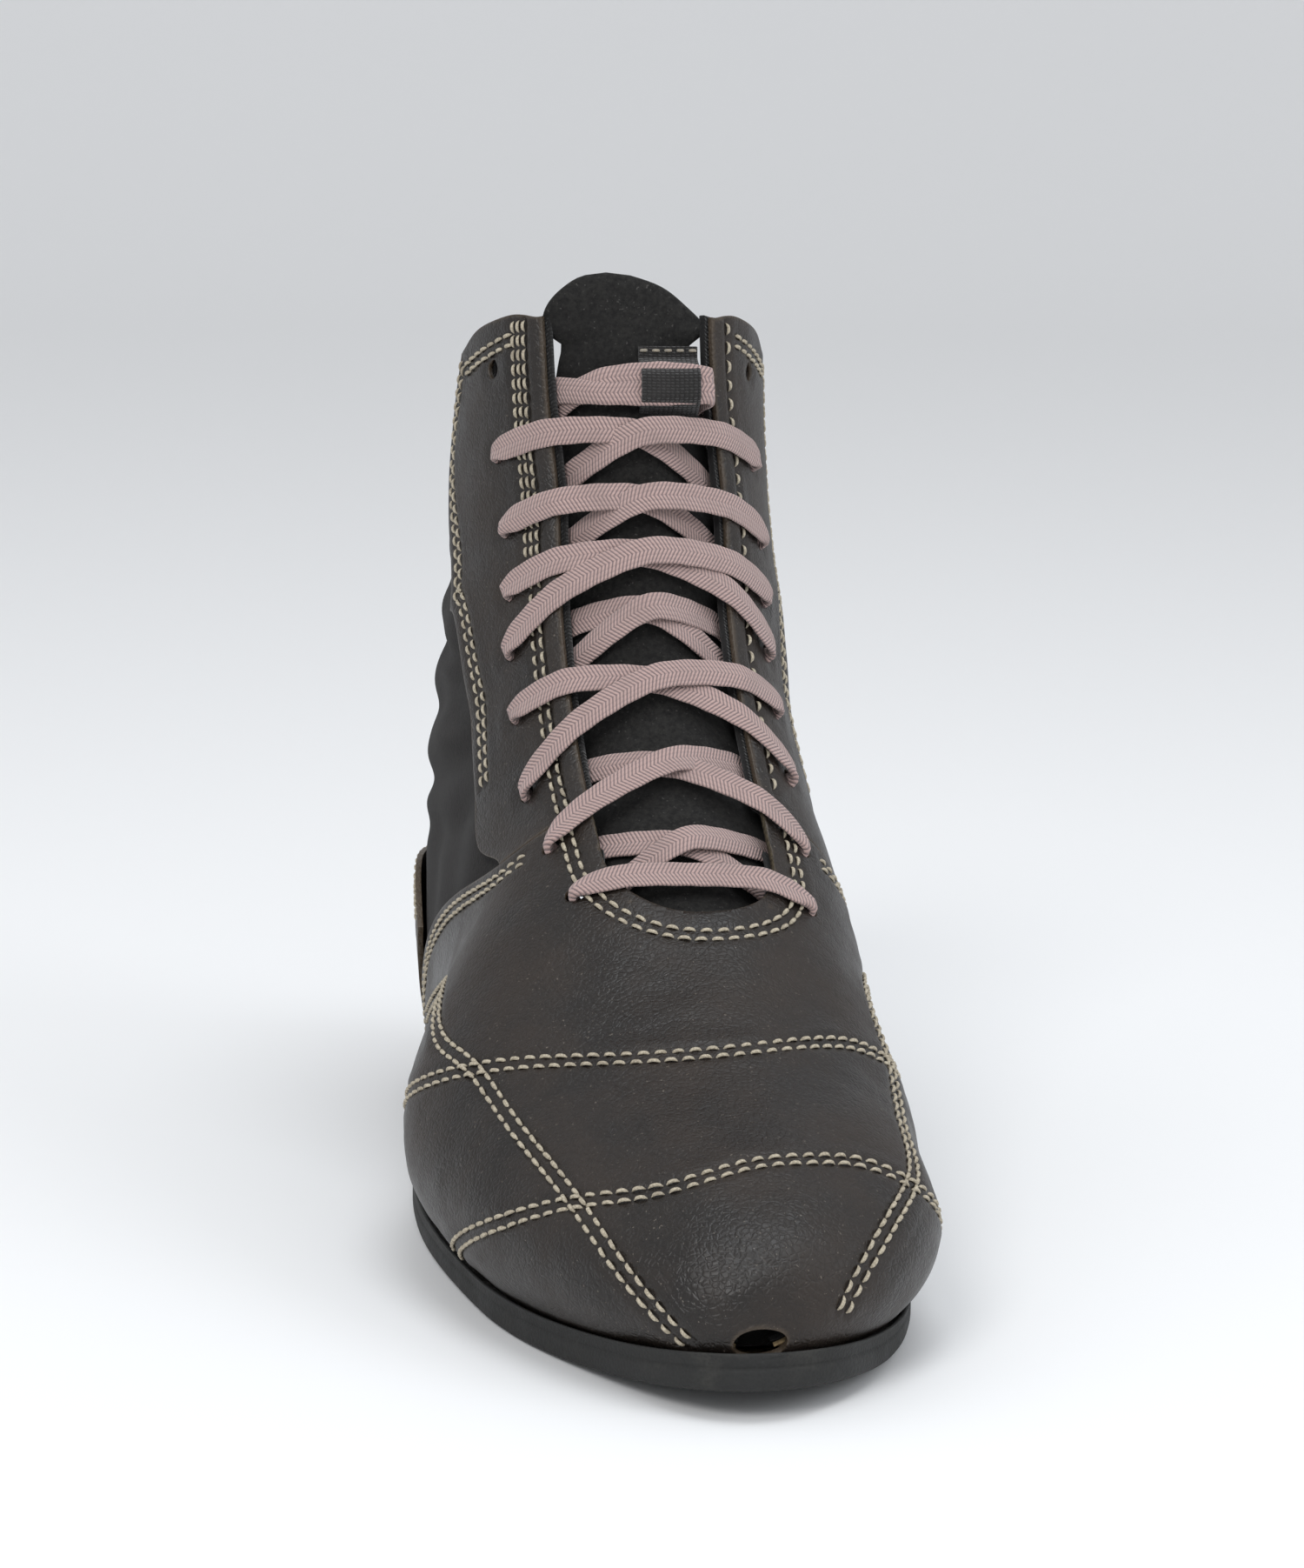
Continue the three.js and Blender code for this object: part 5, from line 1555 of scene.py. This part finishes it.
@dataclass
class SidePanels:
    """The eyestay, quarter, linings and heel cover of one side."""

    side: Side

    def eyestay_seams(self) -> list[Seam]:
        """The seam along the rear edge, the rows beside the gap, and the rows along the top."""
        sign = self.side.value
        top = [(11.93 - 0.16, sign * w) for w in np.linspace(self.near(11.8) + 0.07, float(STAY_EDGE(11.8))
                                                             - 0.05, 4)]
        rows = (-1.4, 1.4)
        seams = [Seam(stay_line(self.side), rows=rows, pitch=3.5), Seam(top, rows=(-1.2, 1.2))]
        if self.side is Side.LATERAL:
            seams.append(Seam(gap_line(self.side, 6.3, 9.4), rows=(-1.9, 0.0, 1.9), pitch=3.3))
            seams.append(Seam(gap_line(self.side, 5.6, 7.05, 9.35), rows=(-1.3, 1.3)))
        else:
            seams.append(Seam(gap_line(self.side, 5.2, 7.2), rows=(0.0,), pitch=4.3))
        return seams

    def near(self, u: float) -> float:
        """|w| of the gap's edge at one ring."""
        return float(LACING.gap_edge(np.array(u), self.side.value))

    def build_eyestay(self, wardrobe: Wardrobe) -> None:
        """The eyestay, with a rolled gap edge, its eyelets and stitches."""
        sign = self.side.value
        u, w = side_grid(self.side, lambda w: VAMP_END(w) + 0.012, LAST.collar_ring,
                         lambda u: LACING.gap_edge(u, sign), STAY_EDGE, 230, 64)
        corner = smoothstep(u, 11.55, 12.0)
        width = LAST.reach(u, sign * np.ones_like(u))
        e = (np.abs(w) - LACING.gap_edge(u, sign)) * width
        back = (STAY_EDGE(u) - np.abs(w)) * width
        drop = 0.10 * corner * (gaussian(e, 5.0) + 0.8 * gaussian(back, 6.0))
        u = u - drop
        seams = self.eyestay_seams()
        outer = skin(u, w, LAYERS.shell[1])
        roll = 0.55 * np.sin(np.pi * np.clip(e / 4.2, 0, 1)) - 0.3 * gaussian(e - 4.6, 0.8)
        relief = grooves(outer, seams) + roll + 0.13 * ripple(outer, 22.0, 21 + sign)
        rows = range(LACING.vamp_eyelets, len(LACING.eyelet_rings))
        for row in rows:
            centre = skin(*map(np.array, LACING.eyelet(row, sign)), LAYERS.shell[1])
            d = np.linalg.norm(outer - centre, axis=-1)
            relief = relief - 0.5 * gaussian(d, 4.2) + 0.18 * gaussian(d - 5.5, 2.0)
        rim = smoothstep(edge_distance(outer), 0, 0.9)
        outer = outer + normals(LAST.point, u, w) * (relief * rim)[..., None]
        inner = skin(u, w, LAYERS.shell[0])
        piece = thick_grid(f"eyestay_{self.side.label}_leather", outer, inner, 0.4)
        dress(piece, wardrobe.leather, wardrobe.cut, wardrobe.lining)
        punch_eyelets(piece, [LACING.eyelet(row, sign) for row in rows])
        face_out(piece)
        place(piece, "leather", f"eyestay_{self.side.label}")
        stitches = sew(f"eyestay_{self.side.label}_stitches", seams, seed=30 + sign)
        dress(stitches, wardrobe.thread)
        place(stitches, "leather")

    def build_backing(self, wardrobe: Wardrobe) -> None:
        """The lining strip behind the eyelets, which shows as a dark band in the gap."""
        sign = self.side.value
        u, w = side_grid(
            self.side, lambda w: np.full_like(w, LACING.throat_ring + LACING.throat_length + 0.5),
                    LAST.collar_ring,
            lambda u: LACING.gap_edge(u, sign) - 0.006,
            lambda u: np.abs(LAST.across(u, sign, LACING.gap_half + LACING.eyelet_inset + 5)), 150, 18)
        u = u - 0.08 * smoothstep(u, 11.5, 12.0)
        outer = skin(u, w, LAYERS.body[1] + 0.55 + 0.1 * ripple(skin(u, w, 0), 14.0, 5))
        piece = thick_grid(f"eyestay_lining_{self.side.label}", outer, skin(u, w, LAYERS.body[0]), 0.3)
        dress(piece, wardrobe.lining, wardrobe.lining, wardrobe.lining)
        rows = range(LACING.vamp_eyelets, len(LACING.eyelet_rings))
        punch_eyelets(piece, [LACING.eyelet(row, sign) for row in rows])
        face_out(piece)
        place(piece, "lining", f"eyestay_backing_{self.side.label}")

    def creases(self, p: np.ndarray, u: np.ndarray, w: np.ndarray) -> np.ndarray:
        """Ankle folds: valleys that run back and slightly down from the eyestay, fading to heel and sole."""
        total = np.zeros(p.shape[:-1])
        y, z = p[..., 1], p[..., 2]
        for level, slant, depth, width, seed in (
            (97, -0.22, 1.7, 4.6, 41), (112, -0.12, 1.3, 4.0, 42), (124, 0.02, 1.8, 4.8, 43),
            (139, 0.10, 1.0, 4.2, 44), (83, -0.30, 0.9, 4.4, 45)):
            line = z - level - slant * (y - 60) - 2.2 * ripple(p, 46.0, seed)
            total += -depth * gaussian(line, width) + 0.55 * depth * gaussian(line - 7.5, 5.0)
        fade = smoothstep(y, 12, 40) * (1 - 0.75 * smoothstep(y, 105, 140))
        return total * fade + 0.45 * ripple(p, 34.0, 46) * smoothstep(z, 20, 60)

    def build_quarter(self, wardrobe: Wardrobe) -> None:
        """The soft ankle panel from the eyestay to the back seam, down to the sole at the heel."""
        sign = self.side.value
        start = lambda w: VAMP_END(w) - 0.22
        front = lambda u: np.abs(LAST.across(u, sign, LACING.gap_half + LACING.eyelet_inset + 5)) + 0.004
        u, w = side_grid(self.side, start, LAST.collar_ring, front, lambda u: np.full_like(u, BACK_SEAM),
                         150, 120, 0.2)
        outer, normal = self.with_skirt(u, w, LAYERS.body[1])
        relief = self.creases(outer, u, w)
        back = (BACK_SEAM - np.abs(w)) * LAST.reach(u, sign * np.ones_like(u))
        relief = relief * smoothstep(back, 0, 10) - 0.5 * gaussian(back, 1.6)
        roll = 0.9 * smoothstep(u, 10.9, 11.45) * (1 - 0.9 * smoothstep(u, 11.7, 12.0))
        stay = (np.abs(w) - STAY_EDGE(u)) * LAST.reach(u, sign * np.ones_like(u))
        relief = np.minimum(relief, 0.25 + 0.9 * smoothstep(stay, -2, 6)) + roll * smoothstep(stay, 0,
                8) * 0.8
        rim = smoothstep(edge_distance(outer), 0, 1.0)
        outer = outer + normal * (relief * rim)[..., None]
        inner, _ = self.with_skirt(u, w, LAYERS.body[0])
        inner = inner + normal * np.minimum(relief * rim, 0)[..., None] * 0.85
        piece = thick_grid(f"quarter_{self.side.label}_cloth", outer, inner, 0.3)
        dress(piece, wardrobe.quarter, wardrobe.quarter, wardrobe.lining)
        face_out(piece)
        place(piece, "fabric", f"quarter_{self.side.label}")
        collar = [(11.86, sign * w) for w in np.linspace(float(STAY_EDGE(11.9)) + 0.05, 0.93, 7)]
        stitches = sew(f"collar_stitches_{self.side.label}",
                       [Seam(collar, rows=(-1.2, 1.2), height=LAYERS.body[1] + 0.5)],
                       seed=50 + sign)
        dress(stitches, wardrobe.grey_thread)
        place(stitches, "fabric")

    def with_skirt(self, u: np.ndarray, w: np.ndarray, d: float) -> tuple[np.ndarray, np.ndarray]:
        """Points of a panel at distance d outside the last, and their normals.
        """
        def surface(u: np.ndarray, w: np.ndarray) -> np.ndarray:
            base = LAST.point(np.minimum(u, 12.01), w)
            return base

        return skin(u, w, d, surface), normals(surface, u, w)

    def build_skirt(self, wardrobe: Wardrobe, name: str, d: tuple[float, float], slot: str,
                    material: bpy.types.Material, first: float, lift: float) -> bpy.types.Object:
        """The wall round the heel from the feet of the rings down to the sole's edge.

        Args:
            wardrobe: the materials.
            name: the piece's name.
            d: inner and outer distance from the last.
            slot: not used (place ignores it).
            material: the outer face's material.
            first: the ring where it starts.
            lift: how far, as a share of a ring, it overlaps the panel above.

        Returns:
            The object.
        """
        sign = self.side.value

        def surface(u: np.ndarray, drop: np.ndarray) -> np.ndarray:
            below = sign * drop
            ring = np.minimum(u, LAST.back_ring - 0.01)
            side = np.full_like(ring, sign)
            point = LAST.at_angle(ring, LAST.ring(ring, side)[1] * (1 + 0.4 * np.minimum(below, 0)), side)
            point[..., 2] -= np.maximum(below, 0) * (point[..., 2] - LAST.feather)
            return point

        rows, columns = 60, 24
        a = np.linspace(0, 1, rows)[:, None]
        b = np.linspace(0, 1, columns)[None]
        share = b if self.side is Side.MEDIAL else 1 - b
        u = first + (LAST.back_ring - 0.012 - first) * np.broadcast_to(a, (rows, columns))
        drop = np.broadcast_to(sign * (-lift * (1 - share) + share), (rows, columns))
        piece = thick_grid(name, skin(u, drop, d[1], surface), skin(u, drop, d[0], surface), 0.3)
        dress(piece, material, wardrobe.cut, wardrobe.lining)
        face_out(piece)
        place(piece, slot)
        return piece

    def build_lining(self, wardrobe: Wardrobe) -> None:
        """The lining inside the shaft, which swells in a soft roll at the collar."""
        sign = self.side.value
        u, w = side_grid(
            self.side, lambda w: VAMP_END(w) - 0.3, LAST.collar_ring,
            lambda u: np.abs(LAST.across(u, sign, LACING.gap_half + LACING.eyelet_inset + 5)) + 0.01,
            lambda u: np.full_like(u, BACK_SEAM), 110, 90, 0.2)
        swell = 3.2 * smoothstep(u, 10.6, 11.3) * (0.35 + 0.65 * (1 - smoothstep(u, 11.75, 12)))
        face = skin(u, w, LAYERS.inside[0] - swell)
        wave = 0.3 * ripple(face, 30.0, 61)
        inner = skin(u, w, LAYERS.inside[0] - swell + wave)
        outer = skin(u, w, LAYERS.inside[1] - swell)
        piece = thick_grid(f"shaft_lining_{self.side.label}", outer, inner, 0.3)
        dress(piece, wardrobe.lining, wardrobe.lining, wardrobe.lining)
        face_out(piece)
        place(piece, "lining", f"quarter_lining_{self.side.label}")

    def build_collar(self, wardrobe: Wardrobe) -> None:
        """The padded rim between cloth and lining: a half-round roll along the collar's edge.

        Its section is an oval from the cloth's outer face to the lining's inner face, as high as it is
        wide at the top ring and closed below.
        """
        sign = self.side.value
        rows, sides = 120, 26
        t = np.linspace(0, 1, rows)
        front = float(np.abs(LAST.across(12.0, sign, LACING.gap_half + LACING.eyelet_inset + 6)))
        w = sign * (front + (BACK_SEAM - front) * t)
        turn = np.linspace(0, 2 * np.pi, sides, endpoint=False)
        outer, inner = LAYERS.body[1] - 0.1, LAYERS.inside[0] - 1.0
        middle, half = (outer + inner) / 2, (outer - inner) / 2
        ends = np.clip(np.minimum(t, 1 - t) / 0.02, 0.05, 1) ** 0.5
        d = middle + half * ends[:, None] * np.cos(turn)[None]
        lift = 0.135 * ends[:, None] * np.sin(turn)[None] * np.where(np.sin(turn) > 0, 0.75, 1.6)[None]
        u = 11.93 + lift
        p = skin(u, np.broadcast_to(w[:, None], u.shape), d + 0.2
                 * ripple(skin(u, np.broadcast_to(w[:, None], u.shape), 0), 16.0, 63))
        vertices = np.concatenate([p.reshape(-1, 3), p[0].mean(0, keepdims=True),
                                   p[-1].mean(0, keepdims=True)])
        faces = [tuple(f) for f in tube_faces(rows, sides).tolist()]
        faces += cap_fan(np.arange(sides), rows * sides, True)
        faces += cap_fan(np.arange(sides) + (rows - 1) * sides, rows * sides + 1, False)
        piece = new_object(f"collar_pad_{self.side.label}", vertices, faces)
        along = lengths(p, 0) * MM
        across = lengths(p, 1) * MM
        uv = np.stack([across, along], -1).reshape(-1, 2)
        set_uv(piece.data, np.concatenate([uv, [[0, 0], [0, 0]]]))
        face_out(piece)
        dress(piece, wardrobe.binding)
        place(piece, "foam", f"collar_foam_{self.side.label}")

    def build_heel(self, wardrobe: Wardrobe) -> None:
        """The heel cover: its upper part on the rings and its wall down to the sole."""
        sign = self.side.value
        lift = LAYERS.shell[1] + 0.5
        u, w = side_grid(self.side, lambda w: np.full_like(w, 8.75), COVER_END,
                         lambda u: np.minimum(COVER_TOP(u), 0.992), lambda u: np.full_like(u, BACK_SEAM),
                                 110, 60, 0.3)
        line = [(ring, sign * (float(min(COVER_TOP(ring), 0.985)) + 0.018))
                for ring in np.linspace(8.85, 10.45, 9)]
        seam = Seam(line, rows=(0.0, 2.6 * sign), height=lift)
        outer = skin(u, w, lift)
        relief = grooves(outer, [seam]) + 0.15 * ripple(outer, 24.0, 71)
        rim = smoothstep(edge_distance(outer), 0, 1.0)
        outer = outer + normals(LAST.point, u, w) * (relief * rim)[..., None]
        piece = thick_grid(f"heel_cover_{self.side.label}_leather", outer,
                           skin(u, w, LAYERS.shell[0] + 0.5), 0.4)
        # The heel cover and its wall take the leather that is painted lighter as a painted side highlight.
        dress(piece, wardrobe.lit_heel_leather, wardrobe.cut, wardrobe.lining)
        face_out(piece)
        place(piece, "leather", f"heel_cover_{self.side.label}")
        shell = (LAYERS.shell[0] + 0.5, lift)
        self.build_skirt(wardrobe, f"heel_wall_{self.side.label}", shell, "leather", wardrobe.lit_heel_leather,
                         8.7, 0.06)
        body = (LAYERS.body[0], LAYERS.body[1])
        self.build_skirt(wardrobe, f"quarter_wall_{self.side.label}", body, "fabric", wardrobe.quarter, 8.5,
                         0.06)
        stitches = sew(f"heel_stitches_{self.side.label}", [seam], seed=70 + sign)
        dress(stitches, wardrobe.thread)
        place(stitches, "leather")

    def build(self, wardrobe: Wardrobe) -> None:
        """All panels of this side."""
        self.build_eyestay(wardrobe)
        self.build_backing(wardrobe)
        self.build_quarter(wardrobe)
        self.build_lining(wardrobe)
        self.build_collar(wardrobe)
        self.build_heel(wardrobe)


@dataclass
class Backstay:
    """The strap down the back seam."""

    half_width: float = 11.0

    def surface(self, u: np.ndarray, b: np.ndarray) -> np.ndarray:
        """The last round the back seam: b runs from the medial edge to the lateral edge."""
        side = np.where(b < 0, 1.0, -1.0)
        edge = 1 - np.abs(LAST.across(u, side, self.half_width))
        return LAST.point(u, side * (edge * np.abs(b) + 1 - np.abs(b)))

    def build(self, wardrobe: Wardrobe) -> None:
        """A leather strip with a double row of stitches along both edges."""
        a, b = np.linspace(0, 1, 90)[:, None], spread(40, 0.3)[None]
        u = COVER_END - 0.06 + (LAST.collar_ring - COVER_END + 0.04) * np.broadcast_to(a, (90, 40))
        across = np.broadcast_to(2 * b - 1, u.shape)
        outer = skin(u, across, LAYERS.shell[1], self.surface)
        seams = [Seam([(ring, place_) for ring in (10.65, 11.1, 11.5, 11.85)], rows=(0.0,),
                      surface=self.surface)
                 for place_ in (-0.74, 0.74)]
        relief = grooves(outer, seams) + 0.1 * ripple(outer, 18.0, 81)
        rim = smoothstep(edge_distance(outer), 0, 0.9)
        outer = outer + normals(self.surface, u, across) * (relief * rim)[..., None]
        piece = thick_grid("backstay_leather", outer, skin(u, across, LAYERS.shell[0] - 0.4, self.surface),
                           0.4)
        dress(piece, wardrobe.leather, wardrobe.cut, wardrobe.lining)
        face_out(piece)
        place(piece, "leather", "backstay")
        stitches = sew("backstay_stitches", seams, seed=82)
        dress(stitches, wardrobe.thread)
        place(stitches, "leather")


# ---------------------------------------------------------------- the sole


@dataclass
class Sole:
    """The rubber outsole that wraps up round the upper's edge."""

    floor: float = 2.4
    wall: float = 1.2
    rim: float = 0.9
    clearance: float = 1.9
    columns: int = 90

    def rings(self) -> np.ndarray:
        """The rings whose feet give the outline, close together at the toe and the heel."""
        toe = 0.03 + 1.97 * np.linspace(0, 1, 60) ** 2
        heel = 9.985 - 1.385 * np.linspace(1, 0, 70) ** 2
        return np.concatenate([toe, np.linspace(2.05, 8.55, 120), heel])

    def side_points(self, u: np.ndarray, side: int, height: float) -> np.ndarray:
        """The last's points at a height above the lifted floor, straight below the foot where there are none."""
        z = height + LAST.toe_lift(LAST.foot_y(u))
        share = np.clip((LAST.top_z(u) - z) / (LAST.top_z(u) - LAST.foot_z(u)), 0, 1)
        sign = np.full_like(u, side, float)
        turn = LAST.ring(u, sign)[1]
        angle = np.arccos(np.clip(1 - share * (1 - np.cos(turn)), -1, 1))
        p = LAST.at_angle(u, angle, sign)
        p[:, 2] = z
        return p

    def loop(self, d: float, height: float) -> np.ndarray:
        """A closed loop round the boot, moved out by d along its own flat normal."""
        u = self.rings()
        base = np.concatenate([self.side_points(u, 1, height), self.side_points(u, -1, height)[::-1]])
        step = np.roll(base, -1, 0) - np.roll(base, 1, 0)
        out = unit(np.stack([step[:, 1], -step[:, 0], np.zeros(len(step))], -1))
        return base + out * d

    def profile(self) -> list[tuple[float, float]]:
        """The wall's outline from the underside round to the inside floor: (distance out, height)."""
        inner = LAYERS.shell[1] + self.clearance
        outer = inner + self.wall
        top = LAST.feather + self.rim
        points = [(outer - 2.6, 0.0), (outer - 1.5, 0.1), (outer - 0.7, 0.5), (outer - 0.2, 1.2),
                  (outer, 2.0)]
        points += [(outer, z) for z in (2.9, 3.9, 4.9)]
        points += [(outer - 0.22, 5.1), (outer - 0.22, 5.5), (outer, 5.7)]
        points += [(outer - 0.02, top - 1.2), (outer - 0.15, top - 0.4), (outer - 0.45, top),
                   (inner + 0.15, top)]
        points += [(inner, top - 0.3), (inner, LAST.feather - 1.0), (inner, self.floor + 1.0),
                   (inner, self.floor)]
        return points

    def tread(self, p: np.ndarray, rim: np.ndarray) -> np.ndarray:
        """Grooves of the underside: wavy bands across the sole, kept off the rim."""
        wave = p[..., 1] + 3.0 * np.sin(p[..., 0] / 6.5)
        band = np.abs(((wave / 6.0) % 1) - 0.5) * 6.0
        depth = 0.8 * (1 - smoothstep(band, 0.5, 1.1))
        return depth * smoothstep(rim, 5.0, 6.0) * (1 - gaussian(p[..., 1] - 50, 16.0))

    def build(self, wardrobe: Wardrobe) -> None:
        """One closed mesh: the underside with its tread, the wall, the rim and the inside floor."""
        loops = [self.loop(d, z) for d, z in self.profile()]
        n = len(loops[0])
        half = n // 2
        lateral = loops[0][half:][::-1]
        medial = loops[0][:half]
        share = np.linspace(0, 1, self.columns)[None, :, None]
        under = lateral[:, None] * (1 - share) + medial[:, None] * share
        width = np.linalg.norm(medial - lateral, axis=-1)[:, None]
        to_side = np.minimum(share[..., 0], 1 - share[..., 0]) * width
        ends = np.minimum(under[..., 1] - under[..., 1].min(), under[..., 1].max() - under[..., 1])
        under[..., 2] += self.tread(under, np.minimum(to_side, ends))
        wall = np.stack(loops)
        vertices = np.concatenate([wall.reshape(-1, 3), under.reshape(-1, 3)])
        count = wall.shape[0] * n
        faces = [tuple(f) for f in grid_faces(wall.shape[0], n, wrap=True).tolist()]
        index = count + np.arange(half * self.columns).reshape(half, self.columns)
        index[:, -1] = np.arange(half)
        index[:, 0] = n - 1 - np.arange(half)
        quads = np.stack([index[:-1, :-1], index[1:, :-1], index[1:, 1:], index[:-1, 1:]], -1).reshape(-1, 4)
        faces += [tuple(f) for f in quads.tolist()]
        top = (wall.shape[0] - 1) * n
        k = np.arange(half - 1)
        lid = np.stack([top + k, top + k + 1, top + n - 2 - k, top + n - 1 - k], -1)
        faces += [tuple(f) for f in lid.tolist()]
        slots = np.zeros(len(faces))
        stripe = [8, 9]
        for row in stripe:
            slots[row * n : (row + 1) * n] = 1
        piece = new_object("outsole_rubber", vertices, faces, slots)
        clean(piece)
        dress(piece, wardrobe.rubber, wardrobe.foxing)
        place(piece, "rubber", "outsole")


def clean(piece: bpy.types.Object) -> None:
    """Drops loose points and merges doubles, then turns the faces out."""
    import bmesh

    work = bmesh.new()
    work.from_mesh(piece.data)
    loose = [v for v in work.verts if not v.link_faces]
    bmesh.ops.delete(work, geom=loose, context="VERTS")
    bmesh.ops.remove_doubles(work, verts=work.verts, dist=1e-6)
    bmesh.ops.recalc_face_normals(work, faces=work.faces)
    work.to_mesh(piece.data)
    work.free()
    piece.data.polygons.foreach_set("use_smooth", np.ones(len(piece.data.polygons), bool))


# ---------------------------------------------------------------- what stays from the frame


def dress_inner_parts(wardrobe: Wardrobe) -> None:
    """Gives the CAD nodes that still show, or lie inside, their procedural materials."""
    chosen = {
        "midsole": wardrobe.foam,
        "insole_board": wardrobe.board,
        "sockliner": wardrobe.lining,
        "toe_puff": wardrobe.board,
        "vamp_lining": wardrobe.lining,
        "heel_stiffener_medial": wardrobe.board,
        "heel_stiffener_lateral": wardrobe.board,
        "aglet_a": wardrobe.aglet,
        "aglet_b": wardrobe.aglet,
    }
    for name, material in chosen.items():
        dress(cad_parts[name], material)


# ---------------------------------------------------------------- the stage


@dataclass
class Studio:
    """A pale floor, soft light and the camera."""

    azimuth: float = -8.05
    distance: float = 937.0
    height: float = 271.1
    aim: tuple[float, float, float] = (4.2, 0.0, 102.4)
    shift: float = 3.4
    roll: float = -0.9
    lens: float = 113.8

    def build_camera(self) -> None:
        """The camera: at a distance and azimuth round the boot, aimed at its middle."""
        turn = math.radians(self.azimuth)
        eye = Vector((math.sin(turn) * self.distance + self.shift, -math.cos(turn) * self.distance,
                      self.height)) * MM
        look = (Vector(self.aim) * MM - eye).normalized()
        data = bpy.data.cameras.new("camera")
        data.lens = self.lens
        data.sensor_width = 36.0
        data.sensor_fit = "HORIZONTAL"
        camera = bpy.data.objects.new("camera", data)
        bpy.context.scene.collection.objects.link(camera)
        turned = look.to_track_quat("-Z", "Y").to_matrix().to_4x4() @ Matrix.Rotation(math.radians(
                -self.roll), 4, "Z")
        camera.matrix_world = Matrix.Translation(eye) @ turned
        bpy.context.scene.camera = camera

    def light(self, name: str, place_: tuple[float, float, float], size: float, power: float,
              colour: tuple[float, float, float] = (1, 1, 1)) -> None:
        """An area light aimed at the middle of the boot."""
        data = bpy.data.lights.new(name, "AREA")
        data.shape = "DISK"
        data.size = size
        data.energy = power
        data.color = colour
        lamp = bpy.data.objects.new(name, data)
        bpy.context.scene.collection.objects.link(lamp)
        lamp.location = place_
        lamp.rotation_euler = (Vector((0, 0, 0.1)) - Vector(place_)).to_track_quat("-Z", "Y").to_euler()

    def build_stage(self) -> None:
        """The floor and the lights."""
        run = np.concatenate([np.linspace(-9, 3, 25), 3 + 2 * np.sin(np.linspace(0.1, np.pi / 2, 12))])
        rise = np.concatenate([np.zeros(25), 2 - 2 * np.cos(np.linspace(0.1, np.pi / 2, 12))])
        run, rise = np.append(run, 5.0), np.append(rise, 9.0)
        x = np.array([-9.0, 9.0])
        p = np.stack(np.broadcast_arrays(x[None], run[:, None], rise[:, None]), -1) / MM
        floor = new_object("floor", p, grid_faces(len(run), 2, flip=False))
        material = bpy.data.materials.new("pale_floor")
        material.use_nodes = True
        shader = material.node_tree.nodes["Principled BSDF"]
        shader.inputs["Base Color"].default_value = (0.86, 0.86, 0.86, 1)
        shader.inputs["Roughness"].default_value = 0.9
        shader.inputs["Specular IOR Level"].default_value = 0.1
        floor.data.materials.append(material)
        world = bpy.data.worlds.new("studio")
        world.use_nodes = True
        world.node_tree.nodes["Background"].inputs["Color"].default_value = (0.92, 0.94, 0.97, 1)
        world.node_tree.nodes["Background"].inputs["Strength"].default_value = 0.78
        bpy.context.scene.world = world
        self.light("key", (-0.7, -1.3, 1.3), 0.7, 11.0)
        self.light("fill", (1.3, -0.9, 1.0), 0.9, 5.0, (0.9, 0.95, 1.0))
        self.light("top", (0.15, -0.35, 1.6), 0.8, 7.0, (0.92, 0.96, 1.0))
        view = bpy.context.scene.view_settings
        view.view_transform = "Standard"


def main() -> None:
    """Builds the studio and the boot, piece by piece."""
    logging.basicConfig(level=logging.INFO, format="%(message)s")
    studio = Studio()
    studio.build_camera()
    wardrobe = Wardrobe()
    tongue = Tongue()
    lace = Lace()
    lace.plan(tongue)
    lace.build(wardrobe)
    tongue.build(wardrobe)
    Vamp().build(wardrobe)
    for side in Side:
        SidePanels(side).build(wardrobe)
    Backstay().build(wardrobe)
    Sole().build(wardrobe)
    dress_inner_parts(wardrobe)
    studio.build_stage()


if __name__ == "__main__":
    main()
